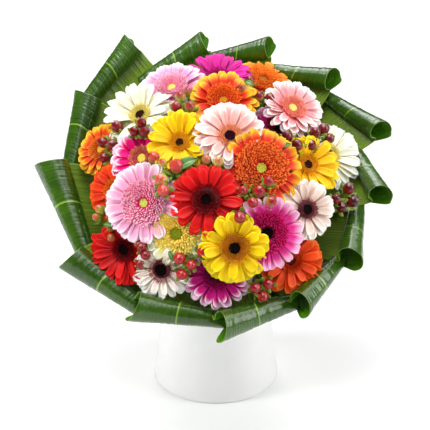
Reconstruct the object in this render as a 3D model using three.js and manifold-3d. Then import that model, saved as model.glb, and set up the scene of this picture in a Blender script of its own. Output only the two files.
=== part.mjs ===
// A round bouquet of small gerberas with hypericum berries and a collar of folded aspidistra leaves,
// bound with raffia and standing in water in a plain white vase that flares at the foot.
// Millimetres, +Z up. The origin is the middle of the vase's flat base, and the bouquet leans to -Y.
import * as THREE from "three";
import { mergeVertices } from "three/addons/utils/BufferGeometryUtils.js";
import Module from "manifold-3d";

const wasm = await Module();
wasm.setup();

// ---- Driving dimensions ----

const GAP = 0.3; // clearance between pieces that touch on the real bouquet
const DEGREE = Math.PI / 180;

// The vase: outer radii at foot and rim, and how sharply the wall flares towards the foot.
const VASE = { height: 158, foot: 67, rim: 54, flare: 1.8, wall: 4.2, floor: 6, edge: 1.5, sides: 30 };
const WATER_LEVEL = 118;

// The bunch has a frame of its own: +Z out of the face of flowers, +Y up across it, origin mid-collar.
const LEAN = 35 * DEGREE;
const COLLAR_CENTRE = new THREE.Vector3(0, -45, 243);
// The flower heads lie on a dome, and each looks away from a point under it.
const DOME = { radius: 165, centre: -90 };
const LOOK_FROM = new THREE.Vector3(0, 45, -154);

// The binding squeezes all stems into a core that the raffia goes round.
const TIE = { height: -86, width: 14, core: 17.2, coreHeight: 18, petioles: 18.4, thick: 2.2, squeeze: 0.105 };
const STEM = { radius: 2.2, sides: 4, neck: 18, foot: [0, 24], splay: 1.7, sunk: 2 };
const TWIG = { radius: 1.5, sides: 4, neck: 14 };

// One gerbera head: the green cup below, the rim that the petals grow from, and the middle.
const HEAD = { seat: 15, neck: 3, rim: 12.2, rimHalf: 0.8, crown: 9.2, crownUp: 3.2, eye: 5.6, eyeUp: 2.6 };
const PETAL = { count: 12, belly: 0.6, fill: 0.97, tip: 0.56, widest: 6.6, thick: 0.9, layer: 9, droop: 16 };
const BENDS = [0, -10, 10, -20, 20, -30, 30, -42, 42]; // degrees a petal may give way, first choice first
const CROSSING = 0.02; // cubic millimetres that two petals of one head may share at their roots
const LOWEST = { root: -34, tip: -52 }; // so that no petal is bent into its own green cup
const SHORTER = [1, 0.7, 0.45]; // share of its length a petal may keep where no bend is enough
const TIP_BEND = 1.2; // a petal's tip bends this much more than its root
const ROOT_CLEAR = 0.25; // the share of a petal next to its own rim that nothing can touch
// The ring of short florets: how far they stand above the petals, and a second ring on full double heads.
const FLORET = { rise: 16, inner: 6, innerRise: 75, fullFrom: 9 };

// One folded leaf: half width along its path, and the loop where it folds over outwards.
const LEAF = { thick: 0.8, loopOut: 150, loopRadius: 10.4, loopTaper: 0.05, slant: 12, tilt: 15 };
const LOOP_ANGLES = [[140, 1], [100, 1], [62, 1], [24, 0.97], [-16, 0.9], [-56, 0.78]]; // and width left there

const BERRY = { stalk: 0.9, fork: 24, foot: 9 };

// ---- Colours ----

const COLOUR = {
  vase: 0xf4f4f2,
  water: 0xbfd4d0,
  stem: 0x5c8a35,
  raffia: 0xb99b62,
  leaf: 0x2b6a1d,
  eye: 0x1c0d0c,
  cream: 0xf6efd2,
  palePink: 0xf4b3c6,
  magenta: 0xd80f7e,
  orange: 0xf27a1c,
  shellPink: 0xf6b6ae,
  redOrange: 0xe3521f,
  golden: 0xf8bd10,
  pinkTipped: 0xd4237a,
  blush: 0xeed2c4,
  red: 0xd1161c,
  coral: 0xe96a3c,
  darkPink: 0xb3236d,
  plumPink: 0xcf4b8f,
  lemon: 0xf7d21a,
  straw: 0xe9d682,
  purplePink: 0xae1f72,
  darkBerry: 0x5a1016,
  redBerry: 0xb01a1f,
  paleBerry: 0xc07a4a,
};

// ---- The florist's plan, in the bunch's frame ----

// name, across, up, lift off the dome, petal reach, cup in degrees, colour, ring floret length, own eye node
const BLOOMS = [
  ["bloom_13_red", -9, -57, 6, 35, 10, "red", 6, true],
  ["bloom_14_red_orange_double", 42, -24, 4, 40, 14, "redOrange", 13, false],
  ["bloom_07_shell_pink", 13, 6, 6, 35, 16, "shellPink", 5, true],
  ["bloom_12_pale_pink", -67, -53, 6, 39, 14, "palePink", 12, false],
  ["bloom_19_plum_pink", 47, -81, 4, 36, 14, "plumPink", 10, false],
  ["bloom_20_lemon", 17, -96, 6, 34, 10, "lemon", 6, true],
  ["bloom_08_golden", -34, 3, 2, 31, 38, "golden", 5, false],
  ["bloom_21_straw_double", -37, -81, 0, 31, 18, "straw", 13, false],
  ["bloom_05_shell_pink", 74, 56, 4, 33, 20, "shellPink", 8, false],
  ["bloom_02_pale_pink", -43, 82, 0, 35, 14, "palePink", 9, false],
  ["bloom_18_blush", 85, -53, 4, 30, 12, "blush", 7, true],
  ["bloom_15_golden", 87, -7, 0, 33, 24, "golden", 5, false],
  ["bloom_06_red_orange", 7, 55, 0, 34, 26, "redOrange", 9, false],
  ["bloom_23_blush", -51, -107, 2, 30, 16, "blush", 7, true],
  ["bloom_01_cream", -73, 49, 0, 38, 26, "cream", 5, false],
  ["bloom_22_red", -86, -83, -2, 35, 24, "red", 5, false],
  ["bloom_25_red_orange", 70, -93, -8, 33, 16, "coral", 6, false],
  ["bloom_24_purple_pink", 1, -111, -7, 34, 14, "purplePink", 7, false],
  ["bloom_09_pink_tipped", -70, -3, -5, 32, 24, "pinkTipped", 7, false],
  ["bloom_10_coral", -112, 28, -8, 28, 24, "coral", 5, false],
  ["bloom_11_red_orange", -93, -30, -6, 32, 20, "redOrange", 6, false],
  ["bloom_04_orange", 47, 112, -6, 32, 14, "orange", 10, false],
  ["bloom_03_magenta", 2, 99, -4, 34, 28, "magenta", 6, false],
  ["bloom_16_cream", 111, 25, -14, 36, 14, "cream", 5, false],
  ["bloom_17_dark_pink", 59, 36, -17, 30, 14, "darkPink", 6, false],
  ["bloom_26_red", 8, -60, -17, 30, 14, "red", 5, false],
];

// Clockwise from the upper left: where each folded leaf's free corner points, in degrees anticlockwise
// from the right, how much further out than the others it stands, and half the length of its fold.
const LEAVES = [
  [119, 18, 42],
  [92, 4, 42],
  [69, 8, 39],
  [43, 5, 44],
  [17, 12, 44],
  [-8, 0, 42],
  [-36, -6, 40],
  [-61.5, -4, 39],
  [-90.5, -4, 44],
  [-121, -6, 47],
  [-150, 0, 45],
  [-188, 0, 52],
  [-216, 0, 42],
];

// name, colour, and each berry's place across, up, out and its diameter
const SPRAYS = [
  ["berries_upper_left", "darkBerry", [
    [-96, 37, 50, 12], [-110, 24, 41, 11], [-100, 16, 50, 11], [-108, 5, 44, 10],
    [-71, 26, 73, 10], [-78, 18, 71, 10], [-68, 15, 75, 10],
  ]],
  ["berries_upper_middle", "paleBerry", [
    [-34, 58, 71, 10], [-38, 43, 75, 11], [-25, 41, 78, 11], [-27, 64, 70, 8],
  ]],
  ["berries_upper_right", "paleBerry", [
    [33, 84, 60, 9], [42, 60, 68, 10], [52, 60, 65, 10], [26, 66, 70, 9],
  ]],
  ["berries_right", "darkBerry", [
    [68, 13, 70, 11], [77, 5, 67, 12], [90, 10, 59, 12], [96, 29, 52, 11], [105, 38, 43, 12], [110, 29, 40, 11],
  ]],
  ["berries_far_right", "redBerry", [
    [129, -16, 21, 12], [133, -26, 14, 13], [115, -35, 34, 10], [121, -40, 26, 11],
  ]],
  ["berries_middle_right", "redBerry", [
    [25, -51, 78, 9], [40, -51, 76, 12], [49, -42, 79, 10], [34, -61, 73, 11], [51, -58, 70, 11], [22, -75, 66, 12],
  ]],
  ["berries_middle_left", "paleBerry", [
    [-58, -13, 74, 11], [-50, -21, 77, 9], [-37, -26, 80, 14],
    [-51, -40, 78, 13], [-49, -51, 78, 12],
  ]],
  ["berries_middle", "paleBerry", [[-9, -21, 83, 10], [2, -24, 84, 10]]],
  ["berries_left", "paleBerry", [
    [-111, -46, 33, 9], [-114, -52, 28, 9], [-98, -61, 39, 9], [-101, -67, 33, 8], [-100, -74, 29, 9],
  ]],
  ["berries_lower_left", "redBerry", [[-70, -90, 39, 10], [-66, -97, 36, 10], [-71, -102, 29, 10]]],
  ["berries_bottom", "redBerry", [
    [-34, -104, 43, 12], [-23, -110, 42, 10], [-32, -116, 34, 11], [-10, -102, 50, 10],
  ]],
  ["berries_bottom_right", "redBerry", [[37, -124, 22, 11], [49, -120, 22, 11], [44, -129, 14, 11]]],
];

// ---- Points, skins and solids ----

const at = (x, y, z) => new THREE.Vector3(x, y, z);
const between = (a, b, share) => a.clone().lerp(b, share);
const toWorld = new THREE.Matrix4()
  .makeRotationX(LEAN)
  .setPosition(COLLAR_CENTRE);
const toBunch = toWorld.clone().invert();

// A closed surface that is drawn face by face.
class Skin {
  points = [];
  faces = [];
  point(v) {
    return this.points.push(v) - 1;
  }
  triangle(a, b, c) {
    this.faces.push(a, b, c);
  }
  quad(a, b, c, d) {
    this.triangle(a, b, c);
    this.triangle(a, c, d);
  }
  // Joins two loops of the same length; the first loop is the one behind.
  band(from, to) {
    from.forEach((_, i) => {
      const j = (i + 1) % from.length;
      this.quad(from[i], from[j], to[j], to[i]);
    });
  }
  fan(loop, tip) {
    loop.forEach((_, i) => this.triangle(loop[i], loop[(i + 1) % loop.length], tip));
  }
  geometry() {
    const shape = new THREE.BufferGeometry().setFromPoints(this.points);
    return shape.setIndex(this.faces);
  }
}

function solidOf(geometry) {
  const bare = geometry.clone().deleteAttribute("normal").deleteAttribute("uv");
  const merged = mergeVertices(bare, 1e-3);
  return new wasm.Manifold(
    new wasm.Mesh({
      numProp: 3,
      vertProperties: merged.attributes.position.array,
      triVerts: new Uint32Array(merged.index.array),
    }),
  );
}

function geometryOf(solid) {
  const mesh = solid.getMesh();
  const shape = new THREE.BufferGeometry();
  shape.setAttribute("position", new THREE.BufferAttribute(mesh.vertProperties, 3));
  return shape.setIndex(new THREE.BufferAttribute(mesh.triVerts, 1));
}

function meshOf(name, geometry, colour, roughness = 0.7) {
  const material = new THREE.MeshStandardMaterial({ color: COLOUR[colour], roughness, metalness: 0 });
  const mesh = new THREE.Mesh(geometry, material);
  mesh.name = name;
  return mesh;
}

// A straight-sided rod with flat ends through a list of points.
function rod(path, radius, sides, endRadius = radius) {
  const skin = new Skin();
  const loops = path.map((p, i) => {
    const along = path[Math.min(i + 1, path.length - 1)].clone().sub(path[Math.max(i - 1, 0)]).normalize();
    const side = at(0, 0, 1).cross(along).length() > 0.1 ? at(0, 0, 1).cross(along) : at(1, 0, 0).cross(along);
    side.normalize();
    const r = radius + ((endRadius - radius) * i) / (path.length - 1);
    return Array.from({ length: sides }, (_, k) =>
      skin.point(p.clone().addScaledVector(side.clone().applyAxisAngle(along, (k * 2 * Math.PI) / sides), r)),
    );
  });
  loops.slice(1).forEach((loop, i) => skin.band(loops[i], loop));
  skin.fan([...loops[0]].reverse(), skin.point(path[0].clone()));
  skin.fan(loops.at(-1), skin.point(path.at(-1).clone()));
  return skin.geometry();
}

// A thin sheet between two grids of points, closed along all four edges.
function sheet(top, bottom) {
  const skin = new Skin();
  const upper = top.map((row) => row.map((p) => skin.point(p)));
  const lower = bottom.map((row) => row.map((p) => skin.point(p)));
  const rows = top.length - 1;
  const columns = top[0].length - 1;
  for (let i = 0; i < rows; i++) {
    for (let j = 0; j < columns; j++) {
      skin.quad(upper[i][j], upper[i + 1][j], upper[i + 1][j + 1], upper[i][j + 1]);
      skin.quad(lower[i][j], lower[i][j + 1], lower[i + 1][j + 1], lower[i + 1][j]);
    }
    skin.quad(upper[i][0], lower[i][0], lower[i + 1][0], upper[i + 1][0]);
    skin.quad(upper[i][columns], upper[i + 1][columns], lower[i + 1][columns], lower[i][columns]);
  }
  for (let j = 0; j < columns; j++) {
    skin.quad(upper[0][j], upper[0][j + 1], lower[0][j + 1], lower[0][j]);
    skin.quad(upper[rows][j], lower[rows][j], lower[rows][j + 1], upper[rows][j + 1]);
  }
  return skin.geometry();
}

// ---- The vase and its water ----

// The outer wall is a gentle cone that flares into the foot.
const wallRadius = (z) => VASE.rim + (VASE.foot - VASE.rim) * (1 - z / VASE.height) ** VASE.flare;

function lathe(profile) {
  const shape = new THREE.LatheGeometry(profile.map(([r, z]) => new THREE.Vector2(r, z)), VASE.sides);
  return shape.rotateX(Math.PI / 2);
}

function vase() {
  const { height, wall, floor, edge, foot, rim } = VASE;
  const outer = [0.12, 0.3, 0.6].map((share) => [wallRadius(share * height), share * height]);
  return lathe([
    [0, 0],
    [foot - edge, 0],
    [wallRadius(edge), edge],
    ...outer,
    [rim, height - edge],
    [rim - edge, height],
    [rim - wall, height - edge],
    [wallRadius(0.3 * height) - wall, 0.3 * height],
    [wallRadius(floor) - wall, floor],
    [0, floor],
  ]);
}

function water(stems) {
  const { height, wall, floor } = VASE;
  const inside = (z) => {
    const [z0, z1] = z > 0.3 * height ? [0.3 * height, height - VASE.edge] : [floor, 0.3 * height];
    const [r0, r1] = [z0, z1].map((h) => (h > height / 2 ? VASE.rim : wallRadius(h)) - wall);
    return r0 + ((r1 - r0) * (z - z0)) / (z1 - z0) - 2 * GAP;
  };
  const bottom = floor + GAP;
  const body = lathe([
    [0, bottom],
    [inside(bottom), bottom],
    [inside(0.3 * height), 0.3 * height],
    [inside(WATER_LEVEL), WATER_LEVEL],
    [0, WATER_LEVEL],
  ]);
  let solid = solidOf(body);
  stems.forEach((s) => {
    const through = s.foot.clone().lerp(s.held, -0.1);
    solid = solid.subtract(solidOf(rod([through, s.held], s.radius + 1.5 * GAP, s.sides)));
  });
  return geometryOf(solid);
}

// ---- Flower heads ----

const domeHeight = (x, y) => DOME.centre + Math.sqrt(DOME.radius ** 2 - x * x - y * y);

function seatOf([name, x, y, lift, reach, cup, colour, ring, hasEye], turn) {
  const centre = at(x, y, domeHeight(x, y) + lift);
  const facing = centre.clone().sub(LOOK_FROM).normalize();
  const spin = new THREE.Quaternion().setFromAxisAngle(at(0, 0, 1), turn);
  const quaternion = new THREE.Quaternion().setFromUnitVectors(at(0, 0, 1), facing).multiply(spin);
  const frame = new THREE.Matrix4().compose(centre, quaternion, at(1, 1, 1));
  return { name, centre, facing, frame, reach, cup, colour, ring, hasEye };
}

// The three rows of a petal: [left, right] at its root, belly and tip, above and below.
function petalRows(bloom, k, bend, share, margin = 0) {
  const step = (2 * Math.PI) / PETAL.count;
  const angle = (k + 0.5) * step;
  const out = at(Math.cos(angle), Math.sin(angle), 0);
  const across = at(-Math.sin(angle), Math.cos(angle), 0);
  const layer = k % 2 ? PETAL.layer : -PETAL.layer;
  const rise = Math.max(bloom.cup + layer + bend, LOWEST.root) * DEGREE;
  const fall = Math.max(bloom.cup + layer - PETAL.droop + TIP_BEND * bend, LOWEST.tip) * DEGREE;
  const length = (share * (bloom.reach - HEAD.rim)) / Math.cos(bloom.cup * DEGREE * 0.7);
  const root = out.clone().multiplyScalar(HEAD.rim * Math.cos(step / 2));
  const lean = (a) => out.clone().multiplyScalar(Math.cos(a)).addScaledVector(at(0, 0, 1), Math.sin(a));
  const belly = root.clone().addScaledVector(lean(rise), length * PETAL.belly);
  const tip = belly.clone().addScaledVector(lean(fall), length * (1 - PETAL.belly) + margin);
  const start = margin ? between(root, belly, ROOT_CLEAR) : root;
  const wide = (p) => PETAL.fill * Math.hypot(p.x, p.y) * Math.tan(step / 2);
  const bellyHalf = Math.min(wide(belly), PETAL.widest) + margin;
  const halves = [HEAD.rim * Math.sin(step / 2) + margin, bellyHalf, bellyHalf * PETAL.tip + margin];
  const thick = [HEAD.rimHalf, PETAL.thick / 2, PETAL.thick / 2].map((t) => t + margin);
  const up = [rise, (rise + fall) / 2, fall].map((a) => lean(a + Math.PI / 2));
  return [start, belly, tip].map((p, i) => {
    const normal = i || margin ? up[i] : at(0, 0, 1);
    const row = (height) =>
      [1, -1].map((s) => p.clone().addScaledVector(across, s * halves[i]).addScaledVector(normal, height * thick[i]));
    return { top: row(1), bottom: row(-1) };
  });
}

function petalBlade(bloom, k, bend, share, margin) {
  const rows = petalRows(bloom, k, bend, share, margin);
  return solidOf(sheet(rows.map((r) => r.bottom), rows.map((r) => r.top)).applyMatrix4(bloom.frame));
}

// Finds the least bend that lets a petal pass its neighbours, or shortens it, or drops it. It keeps a gap
// to the other pieces, and only may not cross what its own head already holds.
function settlePetal(bloom, k, neighbours, own) {
  for (const share of SHORTER) {
    for (const bend of BENDS) {
      const wide = petalBlade(bloom, k, bend, share, GAP * 1.2);
      if (neighbours && !wide.intersect(neighbours).isEmpty()) continue;
      const blade = petalBlade(bloom, k, bend, share, 0);
      if (own.some((solid) => blade.intersect(solid).volume() > CROSSING)) continue;
      own.push(blade);
      return { bend, share };
    }
  }
  return null;
}

// The green cup, the rim of petals, the ring of short florets and the disc, as one closed skin.
function headGeometry(bloom, petals) {
  const skin = new Skin();
  const step = (2 * Math.PI) / PETAL.count;
  const loop = (radius, height) =>
    Array.from({ length: PETAL.count }, (_, k) =>
      skin.point(at(radius * Math.cos(k * step), radius * Math.sin(k * step), height)),
    );
  const neck = loop(HEAD.neck, -HEAD.seat);
  const low = loop(HEAD.rim, -HEAD.rimHalf);
  const high = loop(HEAD.rim, HEAD.rimHalf);
  const crown = loop(HEAD.crown, HEAD.crownUp);
  const eye = loop(HEAD.eye, HEAD.eyeUp);
  skin.fan([...neck].reverse(), skin.point(at(0, 0, -HEAD.seat)));
  skin.band(neck, low);
  for (let k = 0; k < PETAL.count; k++) {
    const next = (k + 1) % PETAL.count;
    drawPetal(skin, bloom, k, petals[k], [low[k], low[next], high[next], high[k]]);
    const angle = (k + 0.5) * step;
    const tilt = (bloom.cup + PETAL.layer + FLORET.rise) * DEGREE;
    const inner = bloom.ring < FLORET.fullFrom ? 0 : FLORET.inner;
    drawFloret(skin, [high[k], high[next], crown[next], crown[k]], angle, bloom.ring, tilt);
    drawFloret(skin, [crown[k], crown[next], eye[next], eye[k]], angle, inner, FLORET.innerRise * DEGREE);
  }
  skin.fan(eye, skin.point(at(0, 0, HEAD.eyeUp + (bloom.hasEye ? 0 : 1.2))));
  return skin.geometry();
}

// Petal k grows out of one face of the rim, which stays bare where the petal was dropped.
function drawPetal(skin, bloom, k, petal, face) {
  if (!petal) {
    skin.quad(...face);
    return;
  }
  const rows = petalRows(bloom, k, petal.bend, petal.share).slice(1);
  const loops = rows.map(({ top, bottom }) =>
    [bottom[1], bottom[0], top[0], top[1]].map((p) => skin.point(p)),
  );
  skin.band(face, loops[0]);
  skin.band(loops[0], loops[1]);
  skin.quad(...loops[1]);
}

// A short pointed floret that stands on one face of the crown.
function drawFloret(skin, face, angle, length, tilt) {
  if (!length) {
    skin.quad(...face);
    return;
  }
  const middle = face.reduce((sum, i) => sum.add(skin.points[i]), at(0, 0, 0)).divideScalar(4);
  const out = at(Math.cos(angle) * Math.cos(tilt), Math.sin(angle) * Math.cos(tilt), Math.sin(tilt));
  skin.fan(face, skin.point(middle.addScaledVector(out, length)));
}

// The dark disc in the middle of a head, as a low knob with a ring of raised florets.
function eyeGeometry() {
  const skin = new Skin();
  const sides = 10;
  const loop = (radius, height, raise = 0) =>
    Array.from({ length: sides }, (_, k) => {
      const angle = (k * 2 * Math.PI) / sides;
      return skin.point(at(radius * Math.cos(angle), radius * Math.sin(angle), height + (k % 2) * raise));
    });
  const bottom = HEAD.eyeUp + GAP;
  const radius = HEAD.eye - 0.6;
  const loops = [loop(radius, bottom), loop(radius, bottom + 1.2, 0.9), loop(radius * 0.55, bottom + 1.6, 0.7)];
  skin.fan([...loops[0]].reverse(), skin.point(at(0, 0, bottom)));
  skin.band(loops[0], loops[1]);
  skin.band(loops[1], loops[2]);
  skin.fan(loops[2], skin.point(at(0, 0, bottom + 1.5)));
  return skin.geometry();
}

// ---- Folded leaves ----

// The leaf's path from the binding out and over its loop, as rows of
// [distance out, height, share of the half width, share of the slant].
function leafPath(outAt, across) {
  const radius = LEAF.loopRadius - LEAF.loopTaper * across;
  const rise = [
    [TIE.petioles, TIE.height - 10, 0.05, 0],
    [TIE.petioles, TIE.height + 8, 0.05, 0],
    [44, -65, 0.2, 0],
    [82, -41, 0.68, 0.1],
    [118, -16, 0.88, 0.3],
  ];
  const loop = LOOP_ANGLES.map(([degrees, share]) => [
    outAt + radius * Math.cos(degrees * DEGREE),
    radius * Math.sin(degrees * DEGREE),
    share,
    1,
  ]);
  const [endOut, endUp] = loop.at(-1);
  return [...rise, ...loop, [endOut - 20, endUp - 13, 0.55, 1], [endOut - 40, endUp - 24, 0.15, 1]];
}

function leaf([corner, further, half]) {
  const outAt = LEAF.loopOut + further;
  const columns = [-1, 0, 1].map((side) => {
    const path = leafPath(outAt, side * half);
    return path.map(([out, up, share, turn], i) => {
      const across = side * half * share;
      const settled = Math.min(1, Math.max(0, (i - 1) / 2));
      const p = at(
        out - Math.tan(LEAF.slant * DEGREE) * across * turn,
        across,
        up - Math.tan(LEAF.tilt * DEGREE) * across * settled,
      );
      const [a, b] = [path[Math.max(i - 1, 0)], path[Math.min(i + 1, path.length - 1)]];
      const normal = at(a[1] - b[1], 0, b[0] - a[0]).normalize();
      return { p, normal };
    });
  });
  const face = (side) =>
    columns[0].map((_, i) =>
      columns.map((c) => c[i].p.clone().addScaledVector(c[i].normal, (side * LEAF.thick) / 2)),
    );
  const blade = sheet(face(1), face(-1));
  return blade.rotateZ(corner * DEGREE + Math.atan(half / (outAt + LEAF.loopRadius)));
}

// ---- Berries ----

function sprayOf([name, colour, berries]) {
  const middle = berries.reduce((sum, [x, y, z]) => sum.add(at(x, y, z)), at(0, 0, 0));
  middle.divideScalar(berries.length);
  const inward = at(0, 0, TIE.height).sub(middle).normalize();
  const fork = middle.clone().addScaledVector(inward, BERRY.fork);
  const foot = fork.clone().addScaledVector(inward, BERRY.foot);
  const parts = [solidOf(rod([foot, fork], TWIG.radius, TWIG.sides))];
  berries.forEach(([x, y, z, diameter]) => {
    const ball = new THREE.IcosahedronGeometry(diameter / 2, 0).translate(x, y, z);
    const start = fork.clone().addScaledVector(inward, 1);
    parts.push(solidOf(ball), solidOf(rod([start, at(x, y, z)], BERRY.stalk, 3)));
  });
  return { name, colour, foot, inward, solid: wasm.Manifold.union(parts) };
}

// ---- Stems and binding ----

// A stem stands on the vase's floor, is squeezed at the binding and spreads to what it carries.
function stemTo(end, facing, radius, sides, neck) {
  const inCore = TIE.coreHeight / 2 - STEM.sunk;
  const [top, bottom] = [inCore, -inCore].map((h) =>
    at(end.x * TIE.squeeze, end.y * TIE.squeeze, TIE.height + h),
  );
  const [footX, footY] = STEM.foot;
  const held = bottom.clone().applyMatrix4(toWorld);
  const foot = at(footX + bottom.x * STEM.splay, footY + bottom.y * STEM.splay, VASE.floor + 1);
  const bend = end.clone().addScaledVector(facing, -neck);
  const upper = solidOf(rod([top, bend, end], radius, sides));
  const lower = solidOf(rod([foot, held], radius, sides).applyMatrix4(toBunch));
  return { radius, sides, foot, held, solid: upper.add(lower) };
}

function bindingCore() {
  const half = TIE.coreHeight / 2;
  return rod([at(0, 0, TIE.height - half), at(0, 0, TIE.height + half)], TIE.core, 14);
}

function binding() {
  const inner = TIE.petioles + 1.2;
  const half = TIE.width / 2 - 1;
  const ring = [
    [inner, -half],
    [inner + TIE.thick * 0.7, -half],
    [inner + TIE.thick, 0],
    [inner + TIE.thick * 0.7, half],
    [inner, half],
    [inner, -half],
  ].map(([r, z]) => new THREE.Vector2(r, z));
  return new THREE.LatheGeometry(ring, 20).rotateX(Math.PI / 2).translate(0, 0, TIE.height);
}

// ---- Putting it together ----

const blooms = BLOOMS.map((row, i) => seatOf(row, i * 0.7));
const sprays = SPRAYS.map(sprayOf);
const stems = [
  ...blooms.map(({ centre, facing }) =>
    stemTo(centre.clone().addScaledVector(facing, -HEAD.seat - GAP), facing, STEM.radius, STEM.sides, STEM.neck),
  ),
  ...sprays.map(({ foot, inward }) =>
    stemTo(foot.clone().addScaledVector(inward, GAP), inward.clone().negate(), TWIG.radius, TWIG.sides, TWIG.neck),
  ),
];
const leaves = LEAVES.map(leaf);

// Everything that holds its place is placed before the petals, which give way to it.
const placed = [...stems.map((s) => s.solid), ...sprays.map((s) => s.solid), ...leaves.map(solidOf)];
const bareHead = (bloom) => solidOf(headGeometry(bloom, []).applyMatrix4(bloom.frame));
const bare = new Map(blooms.map((b) => [b, bareHead(b)]));

function near(bloom, solid) {
  const { min, max } = solid.boundingBox();
  const box = new THREE.Box3(at(...min), at(...max));
  return box.distanceToPoint(bloom.centre) < bloom.reach * 1.2;
}

function settle(bloom) {
  const others = blooms.filter((b) => b !== bloom && bare.has(b)).map((b) => bare.get(b));
  const close = [...placed, ...others].filter((solid) => near(bloom, solid));
  const neighbours = close.length ? wasm.Manifold.union(close) : null;
  const own = [bare.get(bloom)];
  const petals = Array.from({ length: PETAL.count }, (_, k) => settlePetal(bloom, k, neighbours, own));
  const geometry = headGeometry(bloom, petals).applyMatrix4(bloom.frame);
  bare.delete(bloom);
  placed.push(solidOf(geometry));
  return geometry;
}

const bunch = new THREE.Group();
bunch.position.copy(COLLAR_CENTRE);
bunch.rotation.x = LEAN;
blooms.forEach((bloom) => {
  bunch.add(meshOf(bloom.name, settle(bloom), bloom.colour));
  if (bloom.hasEye) bunch.add(meshOf(bloom.name + "_eye", eyeGeometry().applyMatrix4(bloom.frame), "eye"));
});
sprays.forEach((spray) => bunch.add(meshOf(spray.name, geometryOf(spray.solid), spray.colour, 0.3)));
leaves.forEach((geometry, i) => {
  bunch.add(meshOf("leaf_" + String(i + 1).padStart(2, "0"), geometry, "leaf", 0.35));
});
const fusedStems = wasm.Manifold.union([solidOf(bindingCore()), ...stems.map((s) => s.solid)]);
bunch.add(meshOf("stems", geometryOf(fusedStems), "stem"));
bunch.add(meshOf("binding", binding(), "raffia", 0.85));

const bouquet = new THREE.Group();
bouquet.add(meshOf("vase", vase(), "vase", 0.35));
bouquet.add(meshOf("water", water(stems), "water", 0.1));
bouquet.add(bunch);

export default bouquet;
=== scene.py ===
"""A round bouquet of small gerberas in a plain white vase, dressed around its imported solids.

The gerberas and hypericum berries stand in a collar of folded aspidistra leaves. Metres, +Z up.
"""
import math
import random

import bpy
from mathutils import Matrix, Vector, noise


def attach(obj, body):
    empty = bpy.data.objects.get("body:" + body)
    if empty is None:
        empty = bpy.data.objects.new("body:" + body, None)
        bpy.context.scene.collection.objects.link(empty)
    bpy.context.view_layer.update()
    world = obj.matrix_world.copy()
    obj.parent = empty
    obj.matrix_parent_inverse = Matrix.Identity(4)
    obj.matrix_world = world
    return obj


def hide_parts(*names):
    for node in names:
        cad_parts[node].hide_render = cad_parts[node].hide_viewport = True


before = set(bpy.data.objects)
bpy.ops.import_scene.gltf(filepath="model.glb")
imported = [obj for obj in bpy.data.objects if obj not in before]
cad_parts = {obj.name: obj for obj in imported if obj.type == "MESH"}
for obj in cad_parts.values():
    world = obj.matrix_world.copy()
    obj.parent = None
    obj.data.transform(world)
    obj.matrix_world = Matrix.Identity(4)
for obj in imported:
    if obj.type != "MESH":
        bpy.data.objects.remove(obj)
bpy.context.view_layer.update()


# ---- Camera and studio ----
# The bouquet stands on a white sheet, in soft light from above, from behind and from both sides.
# The camera looks down on it from the front through a long lens.

LOOK_AT = Vector((-0.001, -0.045, 0.210))
CAMERA_RISE = math.radians(26)
CAMERA_DISTANCE = 1.5
LENS_MM = 125.7
SHEET_SIZE = 14
SHEET_WHITE = (0.77, 0.77, 0.77, 1)
SHEET_GLOW = (0.175, 0.5)  # near the vase, and far behind it
SHEET_GLOW_FROM = (0.2, 1.6)  # where it starts to rise and where it is full, on the way back
SURROUND = 0.34  # strength of the light from all round
MIRRORED_SURROUND = 0.06  # the same as gloss shows it: the studio round the white sheet is dim
SEEN_SURROUND = 1  # the same as the camera sees it
PURE_WHITE = (1, 1, 1, 1)
# name, place, aimed at, side in metres, watts
SOFTBOXES = [
    ("overhead_box", (-0.15, -0.25, 1.7), (0, -0.03, 0.25), 0.8, 14),
    ("front_box", (0.1, -1.4, 1.6), (0, -0.05, 0.2), 0.8, 3),
    ("left_box", (-1.6, -0.45, 0.85), (0, -0.05, 0.15), 0.7, 23),
    ("right_box", (1.6, -0.45, 0.85), (0, -0.05, 0.15), 1.2, 23.5),
    ("back_box", (-0.1, 1.0, 1.6), (0, -0.05, 0.25), 0.9, 11),
    ("gloss_box", (0.3, 0.3, 2.0), (0, -0.05, 0.25), 3.0, 80),
]
UNMIRRORED = "left_box"  # its cloth is too dim to show in the leaves' gloss
ONLY_MIRRORED = "gloss_box"  # a pale ceiling, which shows in gloss but lights nothing


def object_of(name, data):
    """A new object in the scene."""
    thing = bpy.data.objects.new(name, data)
    bpy.context.scene.collection.objects.link(thing)
    return thing


def placed(name, data, place, target):
    """A camera or a light, turned to what it looks at."""
    thing = object_of(name, data)
    thing.location = place
    thing.rotation_euler = (Vector(target) - Vector(place)).to_track_quat("-Z", "Y").to_euler()
    return thing


camera_place = LOOK_AT + CAMERA_DISTANCE * Vector((0, -math.cos(CAMERA_RISE), math.sin(CAMERA_RISE)))
camera = placed("camera", bpy.data.cameras.new("camera"), camera_place, LOOK_AT)
camera.data.lens = LENS_MM
bpy.context.scene.camera = camera

for name, place, target, side, watts in SOFTBOXES:
    box = bpy.data.lights.new(name, "AREA")
    box.size = side
    box.energy = watts
    light = placed(name, box, place, target)
    light.visible_glossy = name != UNMIRRORED
    light.visible_diffuse = name != ONLY_MIRRORED


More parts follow.
